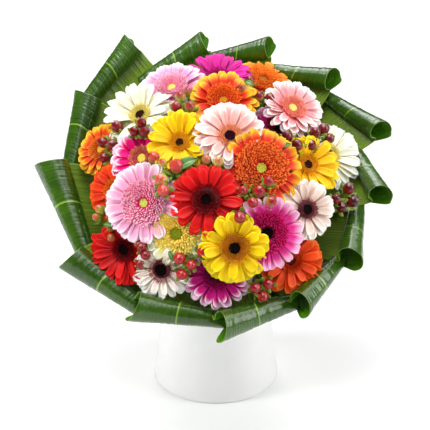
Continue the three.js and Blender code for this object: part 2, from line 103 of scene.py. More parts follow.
class Nodes:
    """Adds nodes to a tree, each with its inputs set or linked, and feeds the node that the tree ends in."""

    def __init__(self, tree, end=None):
        self.tree = tree
        self.end = end

    def add(self, kind, inputs=None, **settings):
        """A node whose inputs are numbers, sockets, or nodes, which stand for their first output."""
        node = self.tree.nodes.new(kind)
        for key, value in settings.items():
            setattr(node, key, value)
        for key, value in (inputs or {}).items():
            if isinstance(value, bpy.types.Node):
                value = value.outputs[0]
            if isinstance(value, bpy.types.NodeSocket):
                self.tree.links.new(value, node.inputs[key])
            else:
                node.inputs[key].default_value = value
        return node

    def sum(self, operation, *values):
        """What a Math node makes of the values."""
        return self.add("ShaderNodeMath", dict(enumerate(values)), operation=operation)

    def blend(self, share, first, second):
        """One colour over another, by a share from 0 to 1."""
        return self.add("ShaderNodeMix", {0: share, 6: first, 7: second}, data_type="RGBA").outputs[2]

    def scaled(self, value, start, end, low=0.0, high=1.0, **settings):
        """How far a value is on its way from start to end, as a number from low to high."""
        return self.add("ShaderNodeMapRange", {
            "Value": value, "From Min": start, "From Max": end, "To Min": low, "To Max": high}, **settings)

    def stored(self, name, kind="FLOAT"):
        """What a mesh holds at each point under a name."""
        held = self.add("GeometryNodeInputNamedAttribute", {"Name": name}, data_type=kind)
        return held.outputs["Attribute"]

    def feed(self, **links):
        """Links values to the node that the tree ends in."""
        for key, value in links.items():
            socket = value.outputs[0] if isinstance(value, bpy.types.Node) else value
            self.tree.links.new(socket, self.end.inputs[key.replace("_", " ")])


def new_finish(name, **settings):
    """A material with its Principled shader set, and the helper that adds nodes to it."""
    finish = bpy.data.materials.new(name)
    finish.use_nodes = True
    nodes = Nodes(finish.node_tree, finish.node_tree.nodes["Principled BSDF"])
    for key, value in settings.items():
        nodes.end.inputs[key.replace("_", " ")].default_value = value
    return finish, nodes


bpy.context.scene.view_settings.view_transform = "Standard"
surround = bpy.data.worlds.new("surround")
surround.use_nodes = True
bpy.context.scene.world = surround
background = surround.node_tree.nodes["Background"]
background.inputs["Color"].default_value = PURE_WHITE
sky = Nodes(surround.node_tree, background)
ray = sky.add("ShaderNodeLightPath").outputs
mirrored = sky.add("ShaderNodeMix", {0: ray["Is Glossy Ray"], 2: SURROUND, 3: MIRRORED_SURROUND})
sky.feed(Strength=sky.add("ShaderNodeMix", {0: ray["Is Camera Ray"], 2: mirrored, 3: SEEN_SURROUND}))

half = SHEET_SIZE / 2
sheet_mesh = bpy.data.meshes.new("white_sheet")
sheet_mesh.from_pydata([(-half, -half, 0), (half, -half, 0), (half, half, 0), (-half, half, 0)], [],
                       [(0, 1, 2, 3)])
sheet_paint, nodes = new_finish("white_sheet", Base_Color=SHEET_WHITE, Roughness=0.9, Specular_IOR_Level=0.0,
                                Emission_Color=PURE_WHITE)
spot = nodes.add("ShaderNodeSeparateXYZ", {0: nodes.add("ShaderNodeTexCoord").outputs["Object"]})
glow = nodes.scaled(spot.outputs["Y"], *SHEET_GLOW_FROM, *SHEET_GLOW)
seen = nodes.add("ShaderNodeLightPath").outputs["Is Camera Ray"]
nodes.feed(Emission_Strength=nodes.sum("MULTIPLY", seen, glow))
sheet_mesh.materials.append(sheet_paint)
object_of("white_sheet", sheet_mesh)


# ---- Vase ----
# A heavy white glazed vase: a slim cone that flares into a broad flat foot. It is thrown in one
# piece, so its wall is round all through and its lip is rolled smooth.

MM = 0.001
VASE_HEIGHT = 158 * MM
VASE_FOOT = 67 * MM
VASE_RIM = 54 * MM
VASE_FLARE = 1.8
VASE_WALL = 4.2 * MM
VASE_FLOOR = 6 * MM
VASE_SIDES = 128
EDGE_RADIUS = 2 * MM  # of the foot's outer edge
WALL_RINGS = 24


def srgb(red, green, blue):
    """A colour as seen on a screen, 0 to 255, in the linear values that shaders take."""
    shares = (((c / 255 + 0.055) / 1.055) ** 2.4 if c > 10 else c / 3295 for c in (red, green, blue))
    return (*shares, 1)


def group_of(name, inputs, outputs):
    """A shader node group with named inputs and outputs, the helper that adds its nodes, and its inputs."""
    tree = bpy.data.node_groups.new(name, "ShaderNodeTree")
    for label, kind, value in inputs:
        socket = tree.interface.new_socket(label, in_out="INPUT", socket_type="NodeSocket" + kind)
        socket.default_value = value
    for label, kind in outputs:
        tree.interface.new_socket(label, in_out="OUTPUT", socket_type="NodeSocket" + kind)
    nodes = Nodes(tree, tree.nodes.new("NodeGroupOutput"))
    return tree, nodes, nodes.add("NodeGroupInput").outputs


# Uneven tone and a soft relief, which every grown or fired surface here has.
mottle_tree, inner, given = group_of(
    "mottle",
    [("Colour", "Color", (1, 1, 1, 1)), ("Deep Colour", "Color", (0.5, 0.5, 0.5, 1)),
     ("Patch Size", "Float", 0.01), ("Amount", "Float", 0.3), ("Relief", "Float", 0.2)],
    [("Colour", "Color"), ("Normal", "Vector")],
)
patches = inner.add("ShaderNodeTexNoise", {
    "Vector": inner.add("ShaderNodeTexCoord").outputs["Object"],
    "Scale": inner.sum("DIVIDE", 1, given["Patch Size"]), "Detail": 4, "Roughness": 0.6})
share = inner.sum("MULTIPLY", inner.scaled(patches, 0.35, 0.65), given["Amount"])
relief = inner.add("ShaderNodeBump", {"Height": patches, "Strength": given["Relief"], "Distance": 0.0004})
inner.feed(Colour=inner.blend(share, given["Colour"], given["Deep Colour"]), Normal=relief)


def mottled(nodes, colour, deep, patch, amount, relief):
    """The mottle in a material, as the sockets of its colour and its normal."""
    return nodes.add("ShaderNodeGroup", {
        "Colour": srgb(*colour), "Deep Colour": srgb(*deep), "Patch Size": patch, "Amount": amount,
        "Relief": relief}, node_tree=mottle_tree).outputs


def mottled_finish(name, colour, deep, patch, amount, relief, **settings):
    """A material that has the mottle and nothing else."""
    finish, nodes = new_finish(name, **settings)
    skin = mottled(nodes, colour, deep, patch, amount, relief)
    nodes.feed(Base_Color=skin["Colour"], Normal=skin["Normal"])
    return finish


def mesh_of(name, points, faces):
    """A smooth mesh."""
    mesh = bpy.data.meshes.new(name)
    mesh.from_pydata([tuple(p) for p in points], [], faces)
    mesh.validate()
    mesh.shade_smooth()
    return mesh


def lathed(profile, sides):
    """Points and faces of a profile of (radius, height) turned round Z; it starts and ends on the axis."""
    points = [(0, 0, profile[0][1])]
    for radius, height in profile[1:-1]:
        angles = [2 * math.pi * k / sides for k in range(sides)]
        points += [(radius * math.cos(a), radius * math.sin(a), height) for a in angles]
    points.append((0, 0, profile[-1][1]))
    rings = len(profile) - 2

    def at(ring, k):
        return 1 + ring * sides + k % sides

    faces = [(0, at(0, k + 1), at(0, k)) for k in range(sides)]
    faces += [(at(r, k), at(r, k + 1), at(r + 1, k + 1), at(r + 1, k))
              for r in range(rings - 1) for k in range(sides)]
    faces += [(len(points) - 1, at(rings - 1, k), at(rings - 1, k + 1)) for k in range(sides)]
    return points, faces


def piece_of(name, mesh, node):
    """A finished piece on the object's one body, in place of its CAD node."""
    piece = object_of(name, mesh)
    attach(piece, "root")
    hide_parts(node)


def wall_radius(height):
    """The vase's outside, which widens ever faster towards its foot."""
    return VASE_RIM + (VASE_FOOT - VASE_RIM) * (1 - height / VASE_HEIGHT) ** VASE_FLARE


def rounded(centre, radius, start, end, steps=6):
    """Points of a small arc in the profile, from start to end degrees."""
    angles = [math.radians(start + (end - start) * i / steps) for i in range(steps + 1)]
    return [(centre[0] + radius * math.cos(a), centre[1] + radius * math.sin(a)) for a in angles]


lip = VASE_WALL / 2
heights = [VASE_HEIGHT * (0.03 + 0.94 * i / (WALL_RINGS - 1)) for i in range(WALL_RINGS)]
vase_profile = (
    [(0, 0), (VASE_FOOT - 3 * EDGE_RADIUS, 0)]
    + rounded((VASE_FOOT - EDGE_RADIUS - 0.4 * MM, EDGE_RADIUS), EDGE_RADIUS, -90, 0)
    + [(wall_radius(h), h) for h in heights]
    + rounded((VASE_RIM - lip, VASE_HEIGHT - lip), lip, 0, 180, 10)
    + [(wall_radius(h) - VASE_WALL, h) for h in reversed(heights)]
    + [(wall_radius(VASE_FLOOR) - 3 * VASE_WALL, VASE_FLOOR), (0, VASE_FLOOR)]
)
vase_mesh = mesh_of("vase_body", *lathed(vase_profile, VASE_SIDES))
vase_mesh.materials.append(mottled_finish(
    "white_glaze", (233, 233, 232), (227, 227, 225), patch=0.03, amount=0.5, relief=0.08,
    Roughness=0.32, Coat_Weight=0.25, Coat_Roughness=0.12))
piece_of("vase_body", vase_mesh, "vase")


# ---- Water ----
# Clear tap water round the stems, a hand's breadth below the rim. Its solid already has the holes
# that the stems stand in, so it keeps its shape and only gets the look of water.

water_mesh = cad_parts["water"].data
water_mesh.materials.clear()
water_mesh.materials.append(mottled_finish(
    "clear_water", (236, 244, 242), (222, 236, 232), patch=0.02, amount=0.4, relief=0.05,
    Roughness=0.03, IOR=1.33, Transmission_Weight=1.0))


# ---- Stems ----
# Every bloom and every twig of berries has a round green stem. It stands on the vase's floor, is
# drawn in at the tie and spreads to what it carries.

# The bunch leans forward: its own +Z looks out of the face of flowers and its +Y up across it.
BUNCH = Matrix.Translation((0, -45 * MM, 243 * MM)) @ Matrix.Rotation(math.radians(35), 4, "X")
DOME_RADIUS = 165 * MM
DOME_CENTRE = -90 * MM
LOOK_FROM = Vector((0, 45, -154)) * MM  # every head looks away from this point
HEAD_SEAT = 15 * MM  # from the petals' rim down to the stem
TIE_HEIGHT = -86 * MM
TIE_SQUEEZE = 0.105
TIE_HALF = 7 * MM
STEM_RADIUS = 2.2 * MM
TWIG_RADIUS = 1.5 * MM
STEM_NECK = 18 * MM
TWIG_NECK = 14 * MM
FEET_MIDDLE = Vector((0, 24)) * MM
FEET_SPLAY = 1.7

# Where the florist put each head: across, up and off the dome of flowers, in millimetres.
HEADS = {
    "bloom_13_red": (-9, -57, 6), "bloom_14_red_orange_double": (42, -24, 4),
    "bloom_07_shell_pink": (13, 6, 6), "bloom_12_pale_pink": (-67, -53, 6),
    "bloom_19_plum_pink": (47, -81, 4), "bloom_20_lemon": (17, -96, 6),
    "bloom_08_golden": (-34, 3, 2), "bloom_21_straw_double": (-37, -81, 0),
    "bloom_05_shell_pink": (74, 56, 4), "bloom_02_pale_pink": (-43, 82, 0),
    "bloom_18_blush": (85, -53, 4), "bloom_15_golden": (87, -7, 0),
    "bloom_06_red_orange": (7, 55, 0), "bloom_23_blush": (-51, -107, 2),
    "bloom_01_cream": (-73, 49, 0), "bloom_22_red": (-86, -83, -2),
    "bloom_25_red_orange": (70, -93, -8), "bloom_24_purple_pink": (1, -111, -7),
    "bloom_09_pink_tipped": (-70, -3, -5), "bloom_10_coral": (-112, 28, -8),
    "bloom_11_red_orange": (-93, -30, -6), "bloom_04_orange": (47, 112, -6),
    "bloom_03_magenta": (2, 99, -4), "bloom_16_cream": (111, 25, -14),
    "bloom_17_dark_pink": (59, 36, -17), "bloom_26_red": (8, -60, -17),
}
# The berries of each twig: across, up and out from the collar's middle, and diameter, in millimetres.
SPRAYS = {
    "berries_upper_left": [(-96, 37, 50, 12), (-110, 24, 41, 11), (-100, 16, 50, 11), (-108, 5, 44, 10),
                           (-71, 26, 73, 10), (-78, 18, 71, 10), (-68, 15, 75, 10)],
    "berries_upper_middle": [(-34, 58, 71, 10), (-38, 43, 75, 11), (-25, 41, 78, 11), (-27, 64, 70, 8)],
    "berries_upper_right": [(33, 84, 60, 9), (42, 60, 68, 10), (52, 60, 65, 10), (26, 66, 70, 9)],
    "berries_right": [(68, 13, 70, 11), (77, 5, 67, 12), (90, 10, 59, 12), (96, 29, 52, 11),
                      (105, 38, 43, 12), (110, 29, 40, 11)],
    "berries_far_right": [(129, -16, 21, 12), (133, -26, 14, 13), (115, -35, 34, 10), (121, -40, 26, 11)],
    "berries_middle_right": [(25, -51, 78, 9), (40, -51, 76, 12), (49, -42, 79, 10), (34, -61, 73, 11),
                             (51, -58, 70, 11), (22, -75, 70, 12)],
    "berries_middle_left": [(-58, -13, 74, 11), (-50, -21, 77, 9), (-37, -26, 80, 14), (-51, -40, 78, 13),
                            (-49, -51, 78, 12)],
    "berries_middle": [(-9, -21, 83, 10), (2, -24, 84, 10)],
    "berries_left": [(-111, -46, 33, 9), (-114, -52, 28, 9), (-98, -61, 39, 9), (-101, -67, 33, 8),
                     (-100, -74, 29, 9)],
    "berries_lower_left": [(-70, -90, 39, 10), (-66, -97, 36, 10), (-71, -102, 29, 10)],
    "berries_bottom": [(-34, -104, 43, 12), (-23, -110, 42, 10), (-32, -116, 34, 11), (-13, -101, 50, 10)],
    "berries_bottom_right": [(37, -124, 22, 11), (49, -120, 22, 11), (44, -129, 14, 11)],
}
TWIG_FORK = 24 * MM  # from the middle of a spray back to where its stalks part
TWIG_FOOT = 9 * MM  # and from there on down to the top of its stem


def geometry_tree(name, *inputs):
    """An empty geometry tree with named inputs, and the helper that adds its nodes."""
    tree = bpy.data.node_groups.new(name, "GeometryNodeTree")
    tree.interface.new_socket("Geometry", in_out="INPUT", socket_type="NodeSocketGeometry")
    for label, kind in inputs:
        tree.interface.new_socket(label, in_out="INPUT", socket_type="NodeSocket" + kind)
    tree.interface.new_socket("Geometry", in_out="OUTPUT", socket_type="NodeSocketGeometry")
    nodes = Nodes(tree)
    return tree, nodes, nodes.add("NodeGroupInput").outputs


def tree_end(nodes, instances, material):
    """Realizes what the tree has placed, paints it and hands it out."""
    real = nodes.add("GeometryNodeRealizeInstances", {"Geometry": instances})
    painted = nodes.add("GeometryNodeSetMaterial", {"Geometry": real, "Material": material})
    nodes.add("NodeGroupOutput", {"Geometry": painted})


def grown(tree, mesh, **inputs):
    """Runs a geometry tree on a mesh and returns the result as a plain mesh."""
    holder = object_of("holder", mesh)
    modifier = holder.modifiers.new("grow", "NODES")
    modifier.node_group = tree
    for socket in tree.interface.items_tree:
        if socket.in_out == "INPUT" and socket.name in inputs:
            modifier[socket.identifier] = inputs[socket.name]
    depsgraph = bpy.context.evaluated_depsgraph_get()
    result = bpy.data.meshes.new_from_object(holder.evaluated_get(depsgraph))
    holder.modifiers.remove(modifier)
    bpy.data.objects.remove(holder)
    return result


def line_mesh(paths, **sizes):
    """Open lines as edges, with a named number stored at every point."""
    mesh = bpy.data.meshes.new("lines")
    points = [p for path in paths for p in path]
    edges, start = [], 0
    for path in paths:
        edges += [(start + i, start + i + 1) for i in range(len(path) - 1)]
        start += len(path)
    mesh.from_pydata([tuple(p) for p in points], edges, [])
    for name, values in sizes.items():
        mesh.attributes.new(name, "FLOAT", "POINT").data.foreach_set("value", values)
    return mesh


# A round stalk along each line of a mesh, as thick as the line's own radius says.
stalk_tree, inner, given = geometry_tree("stalks", ("Sides", "Int"), ("Material", "Material"))
curves = inner.add("GeometryNodeMeshToCurve", {"Mesh": given["Geometry"]})
ring = inner.add("GeometryNodeCurvePrimitiveCircle", {"Resolution": given["Sides"], "Radius": 1.0})
swept = inner.add("GeometryNodeCurveToMesh", {
    "Curve": curves, "Profile Curve": ring, "Scale": inner.stored("radius"), "Fill Caps": True})
smooth = inner.add("GeometryNodeSetShadeSmooth", {"Geometry": swept})
tree_end(inner, smooth, given["Material"])


def curve_through(points, steps=6):
    """A smooth line through the points."""
    ends = [2 * points[0] - points[1], *points, 2 * points[-1] - points[-2]]
    line = []
    for a, b, c, d in zip(ends, ends[1:], ends[2:], ends[3:]):
        for i in range(steps):
            t = i / steps
            line.append(0.5 * ((2 * b) + (c - a) * t + (2 * a - 5 * b + 4 * c - d) * t * t
                               + (3 * b - a - 3 * c + d) * t ** 3))
    return [*line, points[-1]]


def seat_of(across, up, lift):
    """The middle of a head, and the direction that it looks in."""
    x, y = across * MM, up * MM
    centre = Vector((x, y, DOME_CENTRE + math.sqrt(DOME_RADIUS ** 2 - x * x - y * y) + lift * MM))
    return centre, (centre - LOOK_FROM).normalized()


def fork_of(berries):
    """Where the stalks of a spray part, and the way from there down to the tie."""
    middle = sum((Vector(b[:3]) for b in berries), Vector()) * MM / len(berries)
    inward = (Vector((0, 0, TIE_HEIGHT)) - middle).normalized()
    return middle + inward * TWIG_FORK, inward


def stem_line(end, facing, neck):
    """From the vase's floor through the tie to what the stem carries."""
    top, low = (Vector((end.x * TIE_SQUEEZE, end.y * TIE_SQUEEZE, TIE_HEIGHT + h))
                for h in (TIE_HALF, -TIE_HALF))
    foot = Vector((*(FEET_MIDDLE + low.xy * FEET_SPLAY), VASE_FLOOR + 1 * MM))
    held = BUNCH @ low
    bend = end - facing * neck
    waist = (2 * top + bend) / 3
    return [foot, foot.lerp(held, 0.5), *curve_through([held, *(BUNCH @ p for p in (top, waist, bend, end))])]


lines, radii = [], []
for across, up, lift in HEADS.values():
    centre, facing = seat_of(across, up, lift)
    lines.append(stem_line(centre - facing * HEAD_SEAT, facing, STEM_NECK))
    radii += [STEM_RADIUS] * len(lines[-1])
for berries in SPRAYS.values():
    fork, inward = fork_of(berries)
    lines.append(stem_line(fork + inward * TWIG_FOOT, -inward, TWIG_NECK))
    radii += [TWIG_RADIUS] * len(lines[-1])
stem_green = mottled_finish(
    "stem_green", (118, 160, 66), (74, 118, 42), patch=0.006, amount=0.7, relief=0.3,
    Roughness=0.45, Subsurface_Weight=0.1, Subsurface_Scale=0.002)
stems_mesh = grown(stalk_tree, line_mesh(lines, radius=radii), Sides=10, Material=stem_green)
piece_of("stems_round", stems_mesh, "stems")


# ---- Raffia tie ----
# Dry palm strands wound fourteen times round the leaf stalks and knotted in front. The turns cross
# each other, the strands are uneven in tone, and two bows and two free ends stand out of the knot.

TIE_RING = 20.6 * MM
TIE_WIDTH = 13 * MM
TIE_TURNS = 14
STRAND_RADIUS = 0.75 * MM
POINTS_A_TURN = 30
STRAND_LEAN = 1.6 * MM  # how far a turn tilts, at most
STRAND_SWELL = 0.8  # how much wider than the others a turn is, at most, in millimetres
STRAND_WAVE = 0.3 * MM
# The knot's two ends and two bows: across, forwards and up from the knot, in millimetres.
KNOT_TAIL = ((0, 0, 0), (5, -2.5, 1), (11, -2, -5), (15, 0, -13))
KNOT_BOW = ((0, 0, 0), (6, -3, 4), (3, -4, -3), (0, 0, 0))

dice = random.Random(11)
strands = []
for turn in range(TIE_TURNS):
    level = TIE_WIDTH * ((turn + 0.5) / TIE_TURNS - 0.5)
    lean, start = dice.uniform(-1, 1) * STRAND_LEAN, dice.uniform(0, 2 * math.pi)
    swell = dice.uniform(0, STRAND_SWELL) * MM
    circle = []
    for k in range(POINTS_A_TURN + 1):
        angle = 2 * math.pi * k / POINTS_A_TURN + 0.4 * turn
        out = TIE_RING + swell + STRAND_WAVE * math.sin(3 * angle + start)
        rise = TIE_HEIGHT + level + lean * math.sin(angle + start)
        circle.append(BUNCH @ Vector((out * math.cos(angle), out * math.sin(angle), rise)))
    strands.append(circle)
knot = Vector((0, -TIE_RING - 1.5 * MM, TIE_HEIGHT))
for side in (-1, 1):
    for route in (KNOT_TAIL, KNOT_BOW):
        line = [knot + Vector((side * x, y, z)) * MM for x, y, z in route]
        strands.append([BUNCH @ p for p in curve_through(line, 5)])
raffia = mottled_finish(
    "raffia", (214, 186, 128), (160, 128, 76), patch=0.003, amount=0.8, relief=0.6,
    Roughness=0.85, Sheen_Weight=0.2)
tie_radii = [STRAND_RADIUS * (0.8 + 0.2 * math.sin(i)) for i in range(sum(len(s) for s in strands))]
tie_mesh = grown(stalk_tree, line_mesh(strands, radius=tie_radii), Sides=6, Material=raffia)
piece_of("raffia_tie", tie_mesh, "binding")


# ---- Folded aspidistra leaves ----
# Thirteen long glossy leaves stand round the flowers. Each comes up from its stalk, opens to a broad
# blade and is folded over outwards, so that its fine veins run round the fold.

# Clockwise from the upper left: where each fold's free corner points, in degrees anticlockwise from
# the right, how much further out it stands, half the length of the fold, how far the leaf's point
# swings out past the fold, and how much fuller than the others it is rolled, in millimetres.
LEAVES = [
    (116, 23, 42, 0, 1), (92, 4, 42, 0, 0), (69, 8, 39, 0, 0), (43, 5, 44, 0, 0), (17, 12, 44, 0, -1),
    (-8, 0, 42, 0, -1), (-36, -6, 40, 16, 0), (-61.5, -4, 39, 12, 0), (-90.5, -4, 44, 0, 1),
    (-121, -6, 47, 0, 1), (-150, 0, 45, 14, 2), (-188, -3, 52, 30, 3), (-219, 1, 42, 0, 2),
]
LEAF_THICK = 0.6 * MM
# The leaf's path is in millimetres.
STALK_OUT = 18.4
LOOP_OUT = 150
LOOP_RADIUS = 10.4
LOOP_TAPER = 0.07
LOOP_ANGLES = (212, 180, 145, 110, 75, 40, 5, -30, -65)
LOOP_CUT = 11  # how far the free end of the roll is cut back on top
LEAF_SLANT = math.tan(math.radians(12))
LEAF_TILT = math.tan(math.radians(15))
LEAF_COLUMNS = 60
LEAF_STEPS = 5
FLUTES = 17
FLUTE_DEPTH = 0.42
RIPPLE_DEPTH = 0.5
ROWS_BEFORE_ROLL = 5
ROWS_AFTER_ROLL = 2
ROLL_START = ROWS_BEFORE_ROLL / (ROWS_BEFORE_ROLL + len(LOOP_ANGLES) + ROWS_AFTER_ROLL - 1)
# Away from the middle of the blade, as a share of its width: where the rib has faded out and where it
# is full, and where the margin starts and is full.
RIB = (0.011, 0.005)
MARGIN = (0.490, 0.495)


class Row(tuple):
    """Numbers that are scaled and summed together, as a vector of any length is."""

    def __add__(self, other):
        return Row(a + b for a, b in zip(self, other))

    def __sub__(self, other):
        return Row(a - b for a, b in zip(self, other))

    def __mul__(self, factor):
        return Row(a * factor for a in self)

    __rmul__ = __mul__


def leaf_rows(out_at, across, swing, fuller):
    """The leaf's path as (out, up, share of the width, share of the slant, of the cut, swing)."""
    radius = LOOP_RADIUS + fuller - LOOP_TAPER * across
    tie = TIE_HEIGHT / MM
    rows = [(STALK_OUT, tie - 10, 0.05, 0, 0, 0), (STALK_OUT, tie + 8, 0.05, 0, 0, 0),
            (44, -65, 0.2, 0, 0, 0), (82, -41, 0.68, 0.1, 0, 0), (118, -17, 0.9, 0.3, 0, 0)]
    for angle in LOOP_ANGLES:
        up = math.sin(math.radians(angle))
        rows.append((out_at + radius * math.cos(math.radians(angle)), radius * up, 1, 1, 0.5 + 0.5 * up, 0))
    end_out, end_up = rows[-1][:2]
    rows += [(end_out - 18 + 0.5 * swing, end_up - 12, 0.6, 1, 0, 0.5 * swing),
             (end_out - 38 + 1.1 * swing, end_up - 22, 0.1, 1, 0, 1.5 * swing)]
    return curve_through([Row(row) for row in rows], LEAF_STEPS)


def leaf_column(side, out_at, half, swing, fuller, phase):
    """One line of points along the leaf; its side runs from -1 at the free corner to 1."""
    rows = leaf_rows(out_at, side * half, swing, fuller)
    column = []
    for i, (out, up, share, slant, cut, aside) in enumerate(rows):
        across = side * half * share + LOOP_CUT * cut * max(0, -side) ** 2 - aside
        settled = min(1, max(0, (i / LEAF_STEPS - 1) / 2))
        ahead, behind = rows[min(i + 1, len(rows) - 1)], rows[max(i - 1, 0)]
        outward = Vector((behind[1] - ahead[1], 0, ahead[0] - behind[0])).normalized()
        flute = share * noise.noise(Vector((phase, FLUTES * side, 0.25 * i / LEAF_STEPS)))
        ripple = share * noise.noise(Vector((phase, 1.5 * side, i / LEAF_STEPS)))
        point = Vector((out - LEAF_SLANT * across * slant, across, up - LEAF_TILT * across * settled))
        column.append((point + outward * (FLUTE_DEPTH * flute + RIPPLE_DEPTH * ripple)) * MM)
    return column


def lay_uvs(mesh, places):
    """The map called blade, which gives every point of the mesh its place across and along."""
    layer = mesh.uv_layers.new(name="blade")
    layer.data.foreach_set("uv", [c for loop in mesh.loops for c in places[loop.vertex_index]])


def closed_blade(name, grid, uvs, thick):
    """A leaf or petal: a grid of points made into a thin closed body, its underside with its own material."""
    rows, columns = len(grid), len(grid[0])
    normals = []
    for i in range(rows):
        for j in range(columns):
            along = grid[min(i + 1, rows - 1)][j] - grid[max(i - 1, 0)][j]
            across = grid[i][min(j + 1, columns - 1)] - grid[i][max(j - 1, 0)]
            normals.append(along.cross(across).normalized())
    top = [p for row in grid for p in row]
    points = top + [p - n * thick for p, n in zip(top, normals)]
    under = rows * columns

    def at(i, j):
        return i * columns + j

    faces = [(at(i, j), at(i + 1, j), at(i + 1, j + 1), at(i, j + 1))
             for i in range(rows - 1) for j in range(columns - 1)]
    below = [tuple(under + k for k in reversed(quad)) for quad in faces]
    border = [at(i, 0) for i in range(rows)] + [at(rows - 1, j) for j in range(1, columns)]
    border += [at(i, columns - 1) for i in reversed(range(rows - 1))]
    border += [at(0, j) for j in reversed(range(1, columns - 1))]
    rim = [(b, a, under + a, under + b) for a, b in zip(border, border[1:] + border[:1])]
    mesh = bpy.data.meshes.new(name)
    mesh.from_pydata([tuple(p) for p in points], [], faces + below + rim)
    lay_uvs(mesh, [uv for row in uvs for uv in row] * 2)
    mesh.polygons.foreach_set("material_index", [0] * len(faces) + [1] * len(below) + [0] * len(rim))
    mesh.shade_smooth()
    return mesh


# Fine parallel veins along a blade: a mask of lines across U, wandering a little along V.
vein_tree, inner, given = group_of(
    "parallel_veins",
    [("Lines", "Float", 30.0), ("Wander", "Float", 0.02), ("Softness", "Float", 0.5)],
    [("Vein", "Float"), ("Across", "Float"), ("Along", "Float")],
)
blade_map = inner.add("ShaderNodeUVMap", uv_map="blade")
blade = inner.add("ShaderNodeSeparateXYZ", {0: blade_map}).outputs
drift = inner.add("ShaderNodeTexNoise", {"Vector": blade_map, "Scale": 2.5})
bent = inner.sum("MULTIPLY_ADD", drift, given["Wander"], blade["X"])
stretched = inner.add("ShaderNodeCombineXYZ", {
    "X": inner.sum("MULTIPLY", bent, given["Lines"]), "Y": inner.sum("MULTIPLY", blade["Y"], 1.2)})
lines_noise = inner.add("ShaderNodeTexNoise", {"Vector": stretched, "Scale": 1.0, "Detail": 2.0})
spread = inner.sum("MULTIPLY", given["Softness"], 0.4)
vein = inner.scaled(lines_noise, inner.sum("SUBTRACT", 0.5, spread), inner.sum("ADD", 0.5, spread))
inner.feed(Vein=vein, Across=blade["X"], Along=blade["Y"])


def veins(nodes, lines, wander, softness):
    """The veins in a material, as the sockets of their mask and of the place on the blade."""
    return nodes.add("ShaderNodeGroup", {"Lines": lines, "Wander": wander, "Softness": softness},
                     node_tree=vein_tree).outputs


def leaf_finish(name, deep, light, rib, painted_shade, roughness, coat):
    """Glossy green with parallel veins, a pale rib and a rougher lower blade in painted shade and reflection;
    colours as on a screen.
    """
    finish, nodes = new_finish(name, Coat_Roughness=0.18, Specular_IOR_Level=0.15)
    fine = veins(nodes, lines=110.0, wander=0.02, softness=0.7)
    broad = veins(nodes, lines=44.0, wander=0.03, softness=0.9)
    skin = mottled(nodes, deep, light, patch=0.03, amount=0.45, relief=0.05)
    colour = nodes.blend(nodes.sum("MULTIPLY", broad["Vein"], 0.45), skin["Colour"], srgb(*light))
    colour = nodes.blend(nodes.sum("MULTIPLY", fine["Vein"], 0.35), colour, srgb(*deep))
    middle = nodes.sum("ABSOLUTE", nodes.sum("SUBTRACT", broad["Across"], 0.5))
    margin = nodes.sum("MULTIPLY", nodes.scaled(middle, *MARGIN), 0.5)
    pale = nodes.sum("MAXIMUM", nodes.scaled(middle, *RIB), margin)
    colour = nodes.blend(nodes.sum("MULTIPLY", pale, 0.6), colour, srgb(*rib))
    # The lower blade, from the stalk up to the roll, is painted in the olive that shade and the flowers'
    # reflection give it, and made rougher.
    low = nodes.scaled(broad["Along"], ROLL_START + 0.03, ROLL_START - 0.02)
    colour = nodes.blend(nodes.sum("MULTIPLY", low, 0.7), colour, srgb(*painted_shade))
    flutes = nodes.add("ShaderNodeBump", {"Height": broad["Vein"], "Strength": 1.0, "Distance": 0.0014})
    bump = nodes.add("ShaderNodeBump", {
        "Height": fine["Vein"], "Strength": 0.3, "Distance": 0.0003, "Normal": flutes})
    nodes.feed(Base_Color=colour, Roughness=nodes.scaled(low, 0, 1, roughness, 0.7),
               Coat_Weight=nodes.scaled(low, 0, 1, coat, 0.0), Normal=bump)
    return finish


# The fourth colour of each is the lower blade's painted shade and reflection.
leaf_top = leaf_finish("leaf_top", (24, 58, 0), (76, 120, 6), (150, 184, 60), (116, 144, 32), 0.3, 1.0)
leaf_under = leaf_finish("leaf_under", (54, 112, 8), (104, 154, 24), (160, 190, 80), (60, 100, 20), 0.42, 0.1)

dice = random.Random(5)
shares_across = [j / LEAF_COLUMNS for j in range(LEAF_COLUMNS + 1)]
for number, (corner, further, half, swing, fuller) in enumerate(LEAVES, 1):
    out_at = LOOP_OUT + further
    turn = math.radians(corner) + math.atan(half / (out_at + LOOP_RADIUS))
    to_world = BUNCH @ Matrix.Rotation(turn, 4, "Z")
    phase = dice.uniform(0, 9)
    columns = [leaf_column(2 * u - 1, out_at, half, swing, fuller, phase) for u in shares_across]
    grid = [[to_world @ p for p in row] for row in zip(*columns)]
    uvs = [[(u, i / (len(grid) - 1)) for u in shares_across] for i in range(len(grid))]
    leaf_mesh = closed_blade(f"aspidistra_{number:02d}", grid, uvs, LEAF_THICK)
    leaf_mesh.materials.append(leaf_top)
    leaf_mesh.materials.append(leaf_under)
    piece_of(f"aspidistra_{number:02d}", leaf_mesh, f"leaf_{number:02d}")


# ---- Gerberas ----
# A gerbera is a head of very many florets in a green cup: two or three rows of long petals, a ring of
# short split florets and a close disc in the middle. Every kind has its own colours.

PETAL_KINDS = 4
PETAL_LETTERS = "ABCD"
PETAL_STATIONS = (0, 0.12, 0.28, 0.44, 0.6, 0.74, 0.85, 0.92, 0.97, 1)
PETAL_LINES = 7
PETAL_THICK = 0.018
RIM = 12.2 * MM  # where the petals leave the cup
CAD_PETALS = 12
CAD_LAYER = math.radians(9)
LEVEL_MOST = math.radians(12)
RAISE_SHARE = 0.5  # how much of a solid petal's bend round its neighbours the fine petals keep
RAISE_MOST = math.radians(16)
SHORTEST = 0.8
PETAL_LEAST = 4 * MM  # a solid petal hidden under its neighbours stands out less than this
TIP_DEPTH = 1.5 * MM


